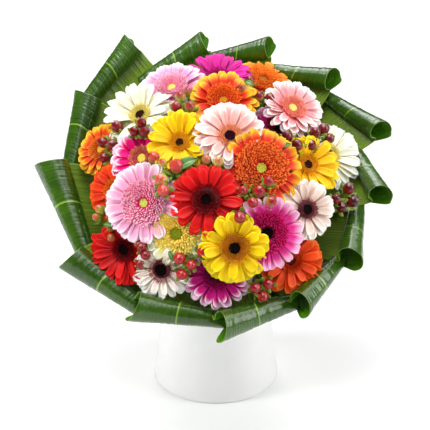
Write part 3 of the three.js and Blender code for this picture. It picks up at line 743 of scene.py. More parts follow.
def petal_prototype(number, dice):
    """A petal 1 long on +X and 1 wide, with two grooves, a toothed tip and its own bend."""
    arch = (0.05, 0.09, 0.02, 0.07)[number] + dice.uniform(-0.01, 0.01)
    curl = dice.uniform(0.05, 0.14)
    twist = dice.uniform(-0.07, 0.07)
    widest = dice.uniform(0.66, 0.74)
    middle = PETAL_LINES // 2
    grid, uvs = [], []
    for v in PETAL_STATIONS:
        if v < widest:
            wide = 0.5 * (0.36 + 0.64 * math.sin(0.5 * math.pi * v / widest) ** 0.9)
        else:
            wide = 0.5 * (1 - ((v - widest) / (1.03 - widest)) ** 3) ** 0.6
        row = []
        for j in range(PETAL_LINES):
            u = j / middle - 1
            tooth = {1: 0.022, middle: 0.015}.get(abs(j - middle), 0)
            x = v - tooth * max(0, (v - 0.85) / 0.15)
            ridge = 0.02 * math.cos(3 * math.pi * u) * min(1, 4 * v)
            z = arch * math.sin(math.pi * v) + curl * u * u * wide * 2 + twist * u * v * v + ridge
            row.append(Vector((x, u * wide, z)))
        grid.append(row)
        uvs.append([(j / (PETAL_LINES - 1), v) for j in range(PETAL_LINES)])
    return closed_blade(f"petal_{number}", grid, uvs, PETAL_THICK)


dice = random.Random(3)
petal_objects = [object_of(f"petal_{k}", petal_prototype(k, dice)) for k in range(PETAL_KINDS)]

# A short strap floret of the ring, narrowing to its tip, and a bud of the disc. Both are 1 long.
STRAP_OUTLINE = ((0, 0.08), (0.35, 0.13), (0.7, 0.15), (0.9, 0.1), (1, 0.03))  # along, and half its width
BUD_PROFILE = [(0, 0), (0.32, 0.0), (0.42, 0.45), (0.3, 0.85), (0, 1.0)]
strap_grid = [[Vector((v, u * wide, 0.14 * math.sin(math.pi * v) + 0.3 * v * v * v + 0.08 * u * u))
               for u in (-1, 0, 1)] for v, wide in STRAP_OUTLINE]
strap_uvs = [[(0.5 + 0.5 * u, v) for u in (-1, 0, 1)] for v, _ in STRAP_OUTLINE]
strap_object = object_of("strap", closed_blade("strap", strap_grid, strap_uvs, 0.05))
bud_points, bud_faces = lathed(BUD_PROFILE, 6)
bud_mesh = mesh_of("bud", bud_points, bud_faces)
lay_uvs(bud_mesh, [(0.5, z) for _, _, z in bud_points])
bud_object = object_of("bud", bud_mesh)


def copies_end(nodes, tone, material, placing):
    """Sets copies on points, gives each its own tone and ends the tree."""
    copies = nodes.add("GeometryNodeInstanceOnPoints", placing)
    toned = nodes.add("GeometryNodeStoreNamedAttribute", {
        "Geometry": copies, "Name": "tone", "Value": tone}, data_type="FLOAT", domain="INSTANCE")
    tree_end(nodes, toned, material)


def instance_of(nodes, pattern):
    """The shape of an object that a tree copies."""
    return nodes.add("GeometryNodeObjectInfo", {"Object": pattern, "As Instance": True}).outputs["Geometry"]


# Petals on the points of a mesh, each turned, raised and sized as its point says.
WHORL_NUMBERS = ("turn", "raise", "roll", "long", "wide", "kind", "tone")
whorl_tree, inner, given = geometry_tree(
    "petal_whorl", *((f"Petal {letter}", "Object") for letter in PETAL_LETTERS), ("Material", "Material"))
kinds = inner.add("GeometryNodeJoinGeometry")
for letter in reversed(PETAL_LETTERS):
    inner.tree.links.new(instance_of(inner, given[f"Petal {letter}"]), kinds.inputs[0])
named = {name: inner.stored(name) for name in WHORL_NUMBERS}
turning = inner.add("ShaderNodeCombineXYZ", {
    "X": named["roll"], "Y": inner.sum("MULTIPLY", named["raise"], -1), "Z": named["turn"]})
scaling = inner.add("ShaderNodeCombineXYZ", {"X": named["long"], "Y": named["wide"], "Z": named["long"]})
copies_end(inner, named["tone"], given["Material"], {
    "Points": given["Geometry"], "Instance": kinds, "Pick Instance": True, "Instance Index": named["kind"],
    "Rotation": turning, "Scale": scaling})

# Florets in the spiral of a flower head, from an inner to an outer radius.
GOLDEN_ANGLE = math.pi * (3 - math.sqrt(5))
SPIRAL_RANGES = ("Radius", "Height", "Raise", "Size")
spiral_tree, inner, given = geometry_tree(
    "floret_spiral", ("Floret", "Object"), ("Count", "Int"),
    *((f"{end} {quantity}", "Float") for quantity in SPIRAL_RANGES for end in ("Inner", "Outer")),
    ("Uneven", "Float"), ("Seed", "Int"), ("Material", "Material"))
index = inner.add("GeometryNodeInputIndex")
part = inner.sum("DIVIDE", inner.sum("ADD", index, 0.5), given["Count"])
squares = [inner.sum("MULTIPLY", given[r], given[r]) for r in ("Inner Radius", "Outer Radius")]
radius = inner.sum("SQRT", inner.scaled(part, 0, 1, *squares))
angle = inner.sum("MULTIPLY", index, GOLDEN_ANGLE)


def from_in_to_out(quantity):
    """What a floret has of the quantity, by its place in the spiral."""
    return inner.scaled(part, 0, 1, given["Inner " + quantity], given["Outer " + quantity])


def uneven(value, seed_step):
    """The value, a little more or less from one floret to the next."""
    drawn = inner.add("FunctionNodeRandomValue", {
        "Min": inner.sum("SUBTRACT", 1, given["Uneven"]), "Max": inner.sum("ADD", 1, given["Uneven"]),
        "Seed": inner.sum("ADD", given["Seed"], seed_step)}, data_type="FLOAT")
    return inner.sum("MULTIPLY", value, drawn.outputs["Value"])


places = inner.add("ShaderNodeCombineXYZ", {
    "X": inner.sum("MULTIPLY", radius, inner.sum("COSINE", angle)),
    "Y": inner.sum("MULTIPLY", radius, inner.sum("SINE", angle)), "Z": from_in_to_out("Height")})
floret_turn = inner.add("ShaderNodeCombineXYZ", {
    "X": inner.sum("SUBTRACT", uneven(0.5, 1), 0.5),
    "Y": inner.sum("MULTIPLY", uneven(from_in_to_out("Raise"), 2), -1),
    "Z": inner.sum("ADD", angle, inner.sum("SUBTRACT", uneven(0.8, 3), 0.8))})
copies_end(inner, uneven(0.5, 5), given["Material"], {
    "Points": inner.add("GeometryNodePoints", {"Count": given["Count"], "Position": places}),
    "Instance": instance_of(inner, given["Floret"]), "Rotation": floret_turn,
    "Scale": uneven(from_in_to_out("Size"), 4)})

# Petal colour: from root to tip with its own edge colour, finely streaked, and each petal a little apart.
petal_tree, inner, given = group_of(
    "petal_colour",
    [*((label, "Color", PURE_WHITE) for label in ("Root", "Body", "Tip", "Streak")),
     ("Root End", "Float", 0.3), ("Tip Start", "Float", 0.7), ("Streaks", "Float", 0.4),
     ("Edge", "Float", 0.5)],
    [("Colour", "Color"), ("Normal", "Vector")],
)
blade = veins(inner, lines=15.0, wander=0.02, softness=0.55)
along, fine = blade["Along"], blade["Vein"]
from_middle = inner.sum("MULTIPLY", inner.sum("ABSOLUTE", inner.sum("SUBTRACT", blade["Across"], 0.5)), 2)
ragged = inner.sum("MULTIPLY_ADD", inner.sum("SUBTRACT", fine, 0.5), 0.16, along)
edge_share = inner.sum("MULTIPLY", given["Edge"], 0.5)
pushed = inner.sum("MULTIPLY_ADD", inner.sum("POWER", from_middle, 3), edge_share, ragged)
to_body = inner.scaled(ragged, 0.02, given["Root End"], interpolation_type="SMOOTHSTEP")
to_tip = inner.scaled(pushed, given["Tip Start"], 1.02, interpolation_type="SMOOTHSTEP")
colour = inner.blend(to_tip, inner.blend(to_body, given["Root"], given["Body"]), given["Tip"])
fade = inner.sum("MULTIPLY", inner.sum("MULTIPLY", fine, given["Streaks"]), inner.sum("SUBTRACT", 1.1, along))
colour = inner.blend(fade, colour, given["Streak"])
tone = inner.add("ShaderNodeAttribute", attribute_name="tone").outputs["Fac"]
colour = inner.add("ShaderNodeHueSaturation", {"Color": colour, "Value": inner.scaled(tone, 0, 1, 0.84, 1.1)})
inner.feed(Colour=colour, Normal=inner.add("ShaderNodeBump", {
    "Height": fine, "Strength": 0.22, "Distance": 0.0003}))


def petal_finish(name, root, body, tip, streak, tip_start, root_end=0.3, streaks=0.3, edge=0.4, shine=0.16):
    """Soft petal, ring floret or disc, in its colours as on a screen."""
    finish, nodes = new_finish(name, Roughness=0.5, Subsurface_Weight=0.18, Subsurface_Scale=0.004,
                               Specular_IOR_Level=shine, Sheen_Weight=0.25 * shine)
    skin = nodes.add("ShaderNodeGroup", {
        "Root": srgb(*root), "Body": srgb(*body), "Tip": srgb(*tip), "Streak": srgb(*streak),
        "Root End": root_end, "Tip Start": tip_start, "Streaks": streaks, "Edge": edge}, node_tree=petal_tree)
    nodes.feed(Base_Color=skin.outputs["Colour"], Normal=skin.outputs["Normal"])
    return finish


def joined(name, *meshes):
    """Several meshes as one, their materials kept."""
    things = [object_of(name, mesh) for mesh in meshes]
    with bpy.context.temp_override(active_object=things[0], selected_editable_objects=things):
        bpy.ops.object.join()
    mesh = things[0].data
    bpy.data.objects.remove(things[0])
    return mesh


def cad_petals(node, to_local):
    """How far and how high the head's petals reach on each side, as its solid's petals do."""
    points = [to_local @ v.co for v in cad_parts[node].data.vertices]
    step = 2 * math.pi / CAD_PETALS
    found = []
    for k in range(CAD_PETALS):
        angle = (k + 0.5) * step
        out = Vector((math.cos(angle), math.sin(angle), 0))
        root = out * RIM
        near = [p for p in points if p.xy.length > MM and abs(p.xy.angle_signed(out.xy)) < 0.49 * step]
        far = [p for p in near if (p - root).length > PETAL_LEAST and p.dot(out) > RIM]
        if not far:
            found.append((0, 0))
            continue
        furthest = max((p - root).length for p in far)
        ends = [p for p in far if (p - root).length > furthest - TIP_DEPTH]
        tip = sum(ends, Vector()) / len(ends) - root
        layer = CAD_LAYER if k % 2 else -CAD_LAYER
        found.append((tip.length, math.atan2(tip.z, tip.dot(out)) - layer))
    reach = max(length for length, _ in found)
    level = min(LEVEL_MOST, sorted(rise for _, rise in found)[len(found) // 3])
    return [(max(length, SHORTEST * reach), level + min(RAISE_MOST, RAISE_SHARE * (rise - level)))
            for length, rise in found]


def whorl(petals, start, count, layer, turn, length, width, dice):
    """The points of one row of petals, which follow the petals of the solid."""
    points, numbers = [], {name: [] for name in WHORL_NUMBERS}
    step = 2 * math.pi / CAD_PETALS
    for j in range(count):
        angle = turn + 2 * math.pi * (j + dice.uniform(-0.16, 0.16)) / count
        k = int((angle % (2 * math.pi)) / step) % CAD_PETALS
        bend, spread, tone = dice.uniform(-0.05, 0.05), dice.uniform(0.9, 1.08), dice.random()
        roll, kind = dice.uniform(-0.18, 0.18), dice.randrange(PETAL_KINDS)
        reach, rise = petals[k]
        rise += math.radians(layer) + bend
        level = ROW_RISE if layer > 0 else -ROW_RISE
        points.append((start * math.cos(angle), start * math.sin(angle), level))
        long = (reach + RIM - start) * length * dice.uniform(0.94, 1.03)
        for name, value in zip(WHORL_NUMBERS, (angle, rise, roll, long, width * spread, kind, tone)):
            numbers[name].append(value)
    return line_mesh([[p] for p in points], **numbers)


def ring_of(material, count, radii, heights, raises, sizes, seed, floret=strap_object):
    """Florets or buds in a ring; each pair is for its inner and outer edge, in millimetres or degrees."""
    ranges = {}
    for quantity, pair in zip(SPIRAL_RANGES, (radii, heights, raises, sizes)):
        for end, value in zip(("Inner", "Outer"), pair):
            ranges[f"{end} {quantity}"] = math.radians(value) if quantity == "Raise" else value * MM
    return grown(spiral_tree, bpy.data.meshes.new("none"), **{
        "Floret": floret, "Count": count, "Uneven": UNEVEN, "Seed": seed, "Material": material, **ranges})


CUP_PROFILE = [(0, -15), (2.6, -15), (3.4, -13), (7.5, -9.5), (11, -5), (12.4, -1.2), (11.6, -0.2), (0, -0.2)]
CUP_SIDES = 24
cup_green = mottled_finish(
    "cup_green", (112, 146, 70), (70, 104, 46), patch=0.004, amount=0.7, relief=0.5,
    Roughness=0.6, Sheen_Weight=0.3)

# Petal colours root, body, tip and streak; petals in a row, their width and where the tip colour starts;
# ring colours root and tip, its outer radius, the florets' length and their rise at its edge; disc colour
# and radius. Sizes in millimetres.
WHITE, DARK, PLUM = (246, 244, 234), (12, 3, 4), (40, 2, 20)
LOOKS = {
    "bloom_13_red": (
        (120, 2, 4), (222, 10, 14), (240, 34, 26), (150, 2, 6), 17, 9.4, 0.75,
        (60, 0, 4), (190, 10, 20), 16, 4.4, 40, DARK, 5.6),
    "bloom_14_red_orange_double": (
        (206, 30, 10), (234, 54, 26), (252, 196, 36), (206, 24, 14), 20, 8.6, 0.62,
        (214, 26, 26), (252, 140, 52), 25, 7.5, 20, (206, 200, 70), 5.4),
    "bloom_07_shell_pink": (
        (246, 130, 106), (252, 184, 176), (255, 238, 232), (236, 120, 112), 18, 9.6, 0.62,
        (230, 124, 80), (252, 196, 150), 12, 3.4, 30, PLUM, 5.6),
    "bloom_12_pale_pink": (
        (240, 90, 150), (250, 172, 204), (255, 232, 240), (240, 120, 176), 19, 9.2, 0.66,
        (252, 50, 130), (255, 206, 224), 22, 6.4, 30, (216, 214, 96), 4.6),
    "bloom_19_plum_pink": (
        (176, 0, 84), (240, 52, 150), (254, 190, 222), (200, 10, 104), 22, 8, 0.55,
        (118, 0, 44), (230, 24, 116), 19.5, 6, 18, DARK, 5.8),
    "bloom_20_lemon": (
        (240, 176, 0), (253, 208, 4), (255, 226, 30), (240, 178, 0), 15, 10.6, 0.8,
        (180, 96, 0), (242, 172, 18), 15.5, 3.6, 30, DARK, 5.8),
    "bloom_08_golden": (
        (240, 160, 0), (253, 198, 0), (255, 216, 20), (240, 168, 0), 20, 8.6, 0.8,
        (222, 140, 4), (252, 200, 30), 11, 3.2, 30, (44, 18, 6), 4.0),
    "bloom_21_straw_double": (
        (240, 214, 120), (252, 244, 190), (253, 250, 222), (240, 220, 130), 20, 7.6, 0.6,
        (252, 204, 60), (255, 240, 126), 21, 5.5, -10, (130, 140, 24), 6.0),
    "bloom_05_shell_pink": (
        (244, 96, 96), (250, 164, 168), (255, 236, 234), (240, 120, 126), 21, 8.4, 0.6,
        (252, 116, 102), (255, 184, 160), 14, 4.2, 34, (250, 232, 120), 4.8),
    "bloom_02_pale_pink": (
        (242, 90, 160), (250, 164, 204), (255, 232, 242), (240, 120, 180), 22, 8, 0.62,
        (252, 104, 164), (255, 214, 228), 17.5, 5.2, 30, (246, 226, 110), 4.8),
    "bloom_18_blush": (
        (200, 140, 130), (246, 214, 200), (255, 242, 234), (222, 170, 158), 17, 8.4, 0.66,
        (80, 20, 36), (176, 92, 100), 11, 3, 44, DARK, 5.2),
    "bloom_15_golden": (
        (240, 150, 0), (253, 192, 0), (255, 214, 20), (238, 158, 0), 20, 8.8, 0.8,
        (222, 136, 4), (252, 196, 30), 11, 3.2, 30, (44, 18, 6), 4.4),
    "bloom_06_red_orange": (
        (186, 20, 8), (232, 52, 22), (253, 200, 40), (210, 24, 10), 22, 8, 0.56,
        (228, 34, 18), (252, 140, 34), 17, 5.5, 30, (220, 150, 30), 4.4),
    "bloom_23_blush": (
        (220, 160, 144), (255, 236, 222), (255, 250, 242), (238, 196, 180), 20, 6.6, 0.6,
        (92, 24, 40), (180, 100, 108), 12.5, 3, 44, DARK, 6.6),
    "bloom_01_cream": (
        (246, 228, 150), (249, 243, 216), WHITE, (238, 226, 178), 20, 8.8, 0.7,
        (226, 204, 84), (250, 236, 150), 11.5, 3.2, 30, (44, 12, 8), 5.2),
    "bloom_22_red": (
        (110, 2, 4), (206, 8, 12), (226, 30, 22), (140, 2, 6), 21, 8, 0.75,
        (56, 0, 4), (150, 6, 14), 12, 3.6, 34, DARK, 5.6),
    "bloom_25_red_orange": (
        (214, 40, 2), (242, 72, 10), (252, 110, 30), (216, 44, 4), 19, 9.2, 0.8,
        (196, 40, 4), (244, 96, 20), 12, 4, 34, (90, 24, 6), 4.8),
    "bloom_24_purple_pink": (
        (120, 0, 62), (200, 4, 122), (250, 214, 234), (150, 0, 88), 20, 8.4, 0.72,
        (96, 0, 52), (190, 10, 110), 15, 5, 34, DARK, 5.6),
    "bloom_09_pink_tipped": (
        (214, 0, 90), (244, 0, 124), (255, 226, 242), (214, 0, 96), 19, 8.6, 0.74,
        (214, 70, 90), (246, 170, 130), 12.5, 4, 34, (236, 220, 90), 4.8),
    "bloom_10_coral": (
        (200, 46, 10), (234, 74, 22), (253, 190, 44), (206, 50, 10), 20, 7.4, 0.66,
        (206, 60, 12), (248, 150, 40), 13, 4.6, 34, (226, 170, 50), 4.6),
    "bloom_11_red_orange": (
        (240, 120, 10), (226, 52, 12), (244, 88, 20), (200, 34, 4), 21, 8, 0.8,
        (222, 80, 10), (250, 150, 30), 14, 4.6, 34, (206, 130, 30), 4.6),
    "bloom_04_orange": (
        (240, 90, 0), (250, 124, 14), (255, 166, 46), (240, 96, 0), 22, 7.8, 0.7,
        (232, 76, 4), (253, 146, 30), 21, 6, 34, (166, 110, 30), 4.8),
    "bloom_03_magenta": (
        (160, 0, 96), (208, 0, 140), (228, 30, 164), (170, 0, 110), 20, 8.4, 0.8,
        (140, 0, 80), (216, 20, 140), 13, 4.6, 34, (130, 0, 70), 4.6),
    "bloom_16_cream": (
        (246, 232, 170), (249, 244, 222), WHITE, (240, 230, 190), 20, 8.8, 0.7,
        (230, 210, 100), (250, 236, 150), 11, 3.4, 30, (60, 24, 12), 4.8),
    "bloom_17_dark_pink": (
        (200, 0, 110), (246, 40, 156), (255, 186, 224), (220, 10, 130), 20, 7.6, 0.6,
        (140, 0, 66), (226, 60, 136), 15, 5, 34, DARK, 5.0),
    "bloom_26_red": (
        (110, 2, 4), (196, 6, 10), (220, 26, 20), (140, 2, 6), 20, 8, 0.75,
        (52, 0, 4), (150, 6, 14), 12, 3.6, 34, DARK, 5.2),
}
# The rows of petals, from the back: layer in degrees, length, width and the share of the count. A head
# with a broad ring has no short third row.
ROWS = [(-8, 1.02, 1.08, 0.88), (0, 0.98, 1.1, 0.82), (7, 0.84, 0.95, 0.6)]
ROW_RISE = 0.7 * MM  # how far the front row starts above the rim, and the others below it
START_LEAST = 7.6 * MM  # where the petals start, from the middle of the head
START_MOST = 15 * MM
RING_OVER = 5 * MM  # how far the ring lies over the petals
BROAD = 18  # the ring's outer radius from which it is broad
# A ring's heights at its inner and its outer edge, how steeply the inner florets rise, their length
# beside the outer ones', and the room on the head that each takes.
BROAD_RING = ((3.4, 2.2), 42, 0.75, 2.0)
NARROW_RING = ((3.4, 4.0), 78, 0.5, 1.3)
RING_LEAST = 80  # florets, however small the ring
RING_ROOM = 25  # the roots of the ring's florets stay inside this
UNEVEN = 0.18
RING_INSIDE = 0.9  # its inner radius beside the disc's
FLORET_OUTSIDE = 0.6  # how much of an outer floret lies outside its root
DISC_BUDS = 90
DISC_START = 0.2
DISC_HEIGHTS, DISC_RAISES, DISC_SIZES = (3.4, 3.0), (88, 70), (1.7, 2.0)
HEAD_SPIN = 0.7  # how far each head is turned past the one before it, in radians
ROW_TURN = 0.1
# How far the tip's colour runs along a petal's edges, and where it starts on the ring's florets: in most
# heads, and in the orange ones, which are yellow at the tips only.
MOST_EDGES = (0.4, 0.5)
ORANGE_EDGES = (0.15, 0.72)

petal_kinds = {f"Petal {letter}": thing for letter, thing in zip(PETAL_LETTERS, petal_objects)}
for number, (node, place) in enumerate(HEADS.items()):
    (root, body, tip, streak, petal_count, petal_width, tip_start, ring_root, ring_tip, ring_out, ring_long,
     ring_rise, disc_colour, disc_radius) = LOOKS[node]
    colour_name = node.removeprefix("bloom_")
    edge, ring_tip_start = ORANGE_EDGES if "orange" in node else MOST_EDGES
    centre, facing = seat_of(*place)
    spin = Matrix.Rotation(number * HEAD_SPIN, 4, "Z")
    upright = Vector((0, 0, 1)).rotation_difference(facing).to_matrix().to_4x4()
    to_world = BUNCH @ Matrix.Translation(centre) @ upright @ spin
    petals = cad_petals(node, to_world.inverted())
    dice = random.Random(100 + number)
    petal_skin = petal_finish("petal_" + colour_name, root, body, tip, streak, tip_start, edge=edge)
    ring_body = tuple((2 * deep + light) // 3 for deep, light in zip(ring_root, ring_tip))
    ring_skin = petal_finish("ring_" + colour_name, ring_root, ring_body, ring_tip, ring_root,
                             ring_tip_start, root_end=0.5, streaks=0.2, edge=0.3, shine=0.12)
    disc_deep = tuple(c // 2 for c in disc_colour)
    disc_skin = petal_finish("disc_" + colour_name, disc_deep, disc_colour, disc_colour, disc_colour,
                             tip_start=0.75, streaks=0, shine=0.04)
    parts = []
    broad = ring_out > BROAD
    petal_start = min(START_MOST, max(START_LEAST, ring_out * MM - RING_OVER))
    for row, (layer, length, width, share) in enumerate(ROWS[:2] if broad else ROWS):
        turn = ROW_TURN + row * math.pi / petal_count
        points = whorl(petals, petal_start, round(petal_count * share), layer, turn, length,
                       width * petal_width * MM, dice)
        parts.append(grown(whorl_tree, points, Material=petal_skin, **petal_kinds))
    ring_heights, inner_raise, inner_share, floret_room = BROAD_RING if broad else NARROW_RING
    ring_count = int(RING_LEAST + (ring_out ** 2 - disc_radius ** 2) / floret_room)
    ring_radii = (disc_radius * RING_INSIDE, min(ring_out - ring_long * FLORET_OUTSIDE, RING_ROOM))
    parts.append(ring_of(ring_skin, ring_count, ring_radii, ring_heights, (inner_raise, ring_rise),
                         (ring_long * inner_share, ring_long), number))
    disc = ring_of(disc_skin, DISC_BUDS, (DISC_START, disc_radius), DISC_HEIGHTS, DISC_RAISES, DISC_SIZES,
                   number + 50, bud_object)
    cup = mesh_of("cup", *lathed([(r * MM, z * MM) for r, z in CUP_PROFILE], CUP_SIDES))
    cup.materials.append(cup_green)
    base_profile = [(0, -0.4 * MM), (petal_start + 1.5 * MM, 0.6 * MM), (petal_start + 1.2 * MM, 1.4 * MM),
                    (disc_radius * MM, 3.0 * MM), (0, 3.6 * MM)]
    base = mesh_of("disc_base", *lathed(base_profile, CUP_SIDES))
    base.materials.append(ring_skin)
    parts += [cup, base]
    if node + "_eye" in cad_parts:
        disc.transform(to_world)
        piece_of("disc_" + colour_name, disc, node + "_eye")
    else:
        parts.append(disc)
    head = joined("gerbera_" + colour_name, *parts)
    head.transform(to_world)
    piece_of("gerbera_" + colour_name, head, node)


# ---- Hypericum berries ----
# Glossy egg-shaped fruits on short forked stalks. Each sits on a star of five green sepals and ends
# in a dry point, and they ripen from green through pink to dark red.

# The ripe colour of each twig's berries, and the colour near their sepals, which ripens last.
RIPENESS = {
    "berries_upper_left": ((116, 8, 20), (140, 30, 30)),
    "berries_upper_middle": ((150, 34, 36), (190, 160, 80)),
    "berries_upper_right": ((130, 22, 26), (186, 160, 80)),
    "berries_right": ((100, 4, 16), (124, 20, 28)),
    "berries_far_right": ((72, 6, 16), (150, 14, 22)),
    "berries_middle_right": ((150, 18, 30), (186, 160, 66)),
    "berries_middle_left": ((190, 60, 50), (200, 204, 104)),
    "berries_middle": ((180, 96, 60), (180, 192, 84)),
    "berries_left": ((176, 96, 52), (164, 184, 58)),
    "berries_lower_left": ((130, 16, 24), (176, 80, 50)),
    "berries_bottom": ((172, 14, 24), (180, 60, 44)),
    "berries_bottom_right": ((140, 14, 24), (190, 70, 50)),
}
# The small leaves beside some sprays, each from its stalk to its point, placed as the berries are.
SPRAY_LEAVES = {
    "berries_middle_left": ((-36, -29, 80), (-17, -21, 84)),
    "berries_right": ((57, -2, 73), (71, 1, 74)),
    "berries_upper_right": ((36, 74, 66), (28, 80, 64)),
    "berries_left": ((-106, -64, 36), (-97, -69, 40)),
    "berries_bottom": ((-40, -106, 42), (-44, -98, 46)),
}
SPRAY_LEAF_WIDE = 0.26  # half the width of such a leaf, as a share of its length
SPRAY_LEAF_STEPS = 12
BERRY_SIDES = 18
BERRY_STALK = 0.9 * MM
LEAF_STALK = 0.7 * MM
FORK_RADIUS = 1.1 * MM
SEPAL_COUNT = 5
# A berry 1 thick, as radius and height, and a sepal below it, as distance out, half its width and height.
BERRY_PROFILE = [(0, -0.5), (0.16, -0.485), (0.3, -0.42), (0.42, -0.28), (0.48, -0.08), (0.475, 0.12),
                 (0.41, 0.3), (0.28, 0.44), (0.12, 0.52), (0.05, 0.56), (0.03, 0.66), (0, 0.67)]
SEPAL_OUTLINE = [(0.04, 0.05, -0.6), (0.32, 0.18, -0.56), (0.56, 0.22, -0.4), (0.72, 0.16, -0.2),
                 (0.78, 0.02, -0.02)]

berry_points, berry_faces = lathed(BERRY_PROFILE, BERRY_SIDES)
berry_mesh = mesh_of("berry", berry_points, berry_faces)
lay_uvs(berry_mesh, [(0.5 + 0.5 * math.atan2(y, x) / math.pi, z + 0.5) for x, y, z in berry_points])
berry_object = object_of("berry", berry_mesh)
sepal_points, sepal_faces = [], []
for k in range(SEPAL_COUNT):
    turn = Matrix.Rotation(2 * math.pi * k / SEPAL_COUNT, 3, "Z")
    grid = [[turn @ Vector((out, u * wide, z)) for u in (-1, 0, 1)] for out, wide, z in SEPAL_OUTLINE]
    sepal = closed_blade("sepal", grid, [[(0.5, 0.5)] * 3] * len(grid), 0.03)
    start = len(sepal_points)
    sepal_points += [v.co.copy() for v in sepal.vertices]
    sepal_faces += [tuple(start + i for i in face.vertices) for face in sepal.polygons]
sepal_object = object_of("sepals", mesh_of("sepals", sepal_points, sepal_faces))
sepal_green = mottled_finish(
    "sepal_green", (150, 176, 72), (104, 140, 44), patch=0.004, amount=0.7, relief=0.3,
    Roughness=0.5, Subsurface_Weight=0.1, Subsurface_Scale=0.002)

# A fruit or its sepals on each point, turned the way the point's stalk runs.
fruit_tree, inner, given = geometry_tree("fruits", ("Fruit", "Object"), ("Material", "Material"))
run = inner.stored("run", "FLOAT_VECTOR")
aligned = inner.add("FunctionNodeAlignRotationToVector", {"Vector": run}, axis="Z")
copies_end(inner, inner.stored("tone"), given["Material"], {
    "Points": given["Geometry"], "Instance": instance_of(inner, given["Fruit"]), "Rotation": aligned,
    "Scale": inner.stored("size")})

spray_green, nodes = new_finish("spray_green", Roughness=0.45, Specular_IOR_Level=0.4)
skin = mottled(nodes, (64, 112, 44), (96, 142, 70), patch=0.005, amount=0.5, relief=0.1)
blade = veins(nodes, lines=16.0, wander=0.03, softness=0.6)
middle = nodes.sum("ABSOLUTE", nodes.sum("SUBTRACT", blade["Across"], 0.5))
on_rib = nodes.scaled(middle, 0.07, 0.02, high=0.7)
nodes.feed(Base_Color=nodes.blend(on_rib, skin["Colour"], srgb(170, 196, 120)), Normal=skin["Normal"])


def spray_leaf(base, point):
    """A small pointed leaf, arched along its length and folded a little along its rib."""
    along = point - base
    outward = (BUNCH.to_3x3() @ Vector((0, 0, 1))).normalized()
    side = outward.cross(along).normalized() * along.length
    outward = along.cross(side).normalized() * along.length
    lines_across = (-1, -0.5, 0, 0.5, 1)
    grid, uvs = [], []
    for i in range(SPRAY_LEAF_STEPS + 1):
        v = i / SPRAY_LEAF_STEPS
        wide = SPRAY_LEAF_WIDE * math.sin(math.pi * v ** 0.85) ** 0.8 if 0 < v < 1 else 0.004
        arch = 0.12 * math.sin(math.pi * v)
        grid.append([base + along * v + side * (u * wide) + outward * (arch + 0.10 * abs(u))
                     for u in lines_across])
        uvs.append([(0.5 + 0.5 * u, v) for u in lines_across])
    leaf = closed_blade("spray_leaf", grid, uvs, 0.4 * MM)
    leaf.materials.append(spray_green)
    leaf.materials.append(spray_green)
    return leaf


def berry_finish(name, ripe, young):
    """Glossy skin that ripens from its tip towards its sepals, in blotches and stripes."""
    finish, nodes = new_finish(name, Roughness=0.35, Specular_IOR_Level=0.2, Coat_Weight=0.7,
                               Coat_Roughness=0.07, Subsurface_Weight=0.1, Subsurface_Scale=0.002)
    blade = veins(nodes, lines=26.0, wander=0.03, softness=0.8)
    tone = nodes.add("ShaderNodeAttribute", attribute_name="tone").outputs["Fac"]
    patches = nodes.add("ShaderNodeTexNoise", {
        "Vector": nodes.add("ShaderNodeTexCoord").outputs["Object"], "Scale": 220.0})
    blotches = nodes.sum("MULTIPLY_ADD", patches, 0.5, nodes.sum("MULTIPLY", blade["Vein"], 0.35))
    ripening = nodes.sum("ADD", nodes.sum("ADD", blade["Along"], nodes.sum("MULTIPLY", tone, 0.5)), blotches)
    nodes.feed(Base_Color=nodes.blend(nodes.scaled(ripening, 0.98, 1.45), srgb(*young), srgb(*ripe)))
    return finish


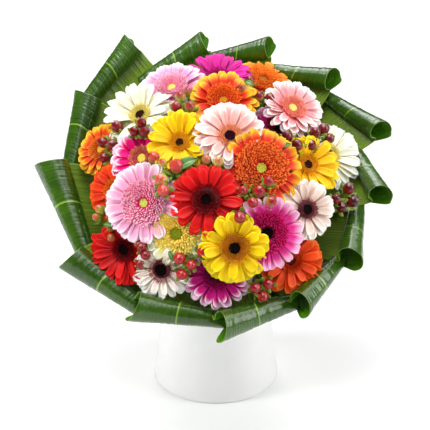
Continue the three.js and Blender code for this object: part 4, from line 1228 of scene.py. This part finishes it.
for number, (node, berries) in enumerate(SPRAYS.items()):
    place_name = node.removeprefix("berries_")
    berry_skin = berry_finish("berry_" + place_name, *RIPENESS[node])
    fork, inward = fork_of(berries)
    dice = random.Random(300 + number)
    points, runs, sizes, stalks, stalk_radii, small_leaves = [], [], [], [], [], []
    start = fork + inward * 1 * MM
    foot = fork + inward * TWIG_FOOT
    for x, y, z, diameter in berries:
        middle = Vector((x, y, z)) * MM
        run = (middle - start).normalized()
        sway = Vector((dice.uniform(-0.3, 0.3), dice.uniform(-0.3, 0.3), 0.5))
        away = (run + (middle - fork) * 4 + sway).normalized()
        points.append(BUNCH @ middle)
        runs.append((BUNCH.to_3x3() @ away).normalized())
        sizes.append(diameter * MM)
        base = middle - away * 0.5 * diameter * MM
        line = curve_through([start, start.lerp(base, 0.55) + Vector((0, 0, 1.5)) * MM, base], 4)
        stalks.append([BUNCH @ p for p in line])
        stalk_radii += [BERRY_STALK] * len(line)
    stalks.append([BUNCH @ foot, BUNCH @ start, BUNCH @ fork])
    stalk_radii += [TWIG_RADIUS, TWIG_RADIUS, FORK_RADIUS]
    if node in SPRAY_LEAVES:
        base, point = (BUNCH @ (Vector(p) * MM) for p in SPRAY_LEAVES[node])
        small_leaves.append(spray_leaf(base, point))
        stalks.append(curve_through([BUNCH @ start, (BUNCH @ start).lerp(base, 0.6), base], 4))
        stalk_radii += [LEAF_STALK] * len(stalks[-1])
    fruit_points = line_mesh([[p] for p in points], size=sizes, tone=[dice.random() for _ in points])
    run_layer = fruit_points.attributes.new("run", "FLOAT_VECTOR", "POINT")
    run_layer.data.foreach_set("vector", [c for run in runs for c in run])
    spray = joined(
        "hypericum_" + place_name,
        grown(fruit_tree, fruit_points, Fruit=berry_object, Material=berry_skin),
        grown(fruit_tree, fruit_points, Fruit=sepal_object, Material=sepal_green),
        grown(stalk_tree, line_mesh(stalks, radius=stalk_radii), Sides=7, Material=stem_green),
        *small_leaves,
    )
    piece_of("hypericum_" + place_name, spray, node)


# ---- Patterns ----
# The patterns that petals, florets and fruits were copied from are cleared away.

for thing in (*petal_objects, strap_object, bud_object, berry_object, sepal_object):
    bpy.data.objects.remove(thing)
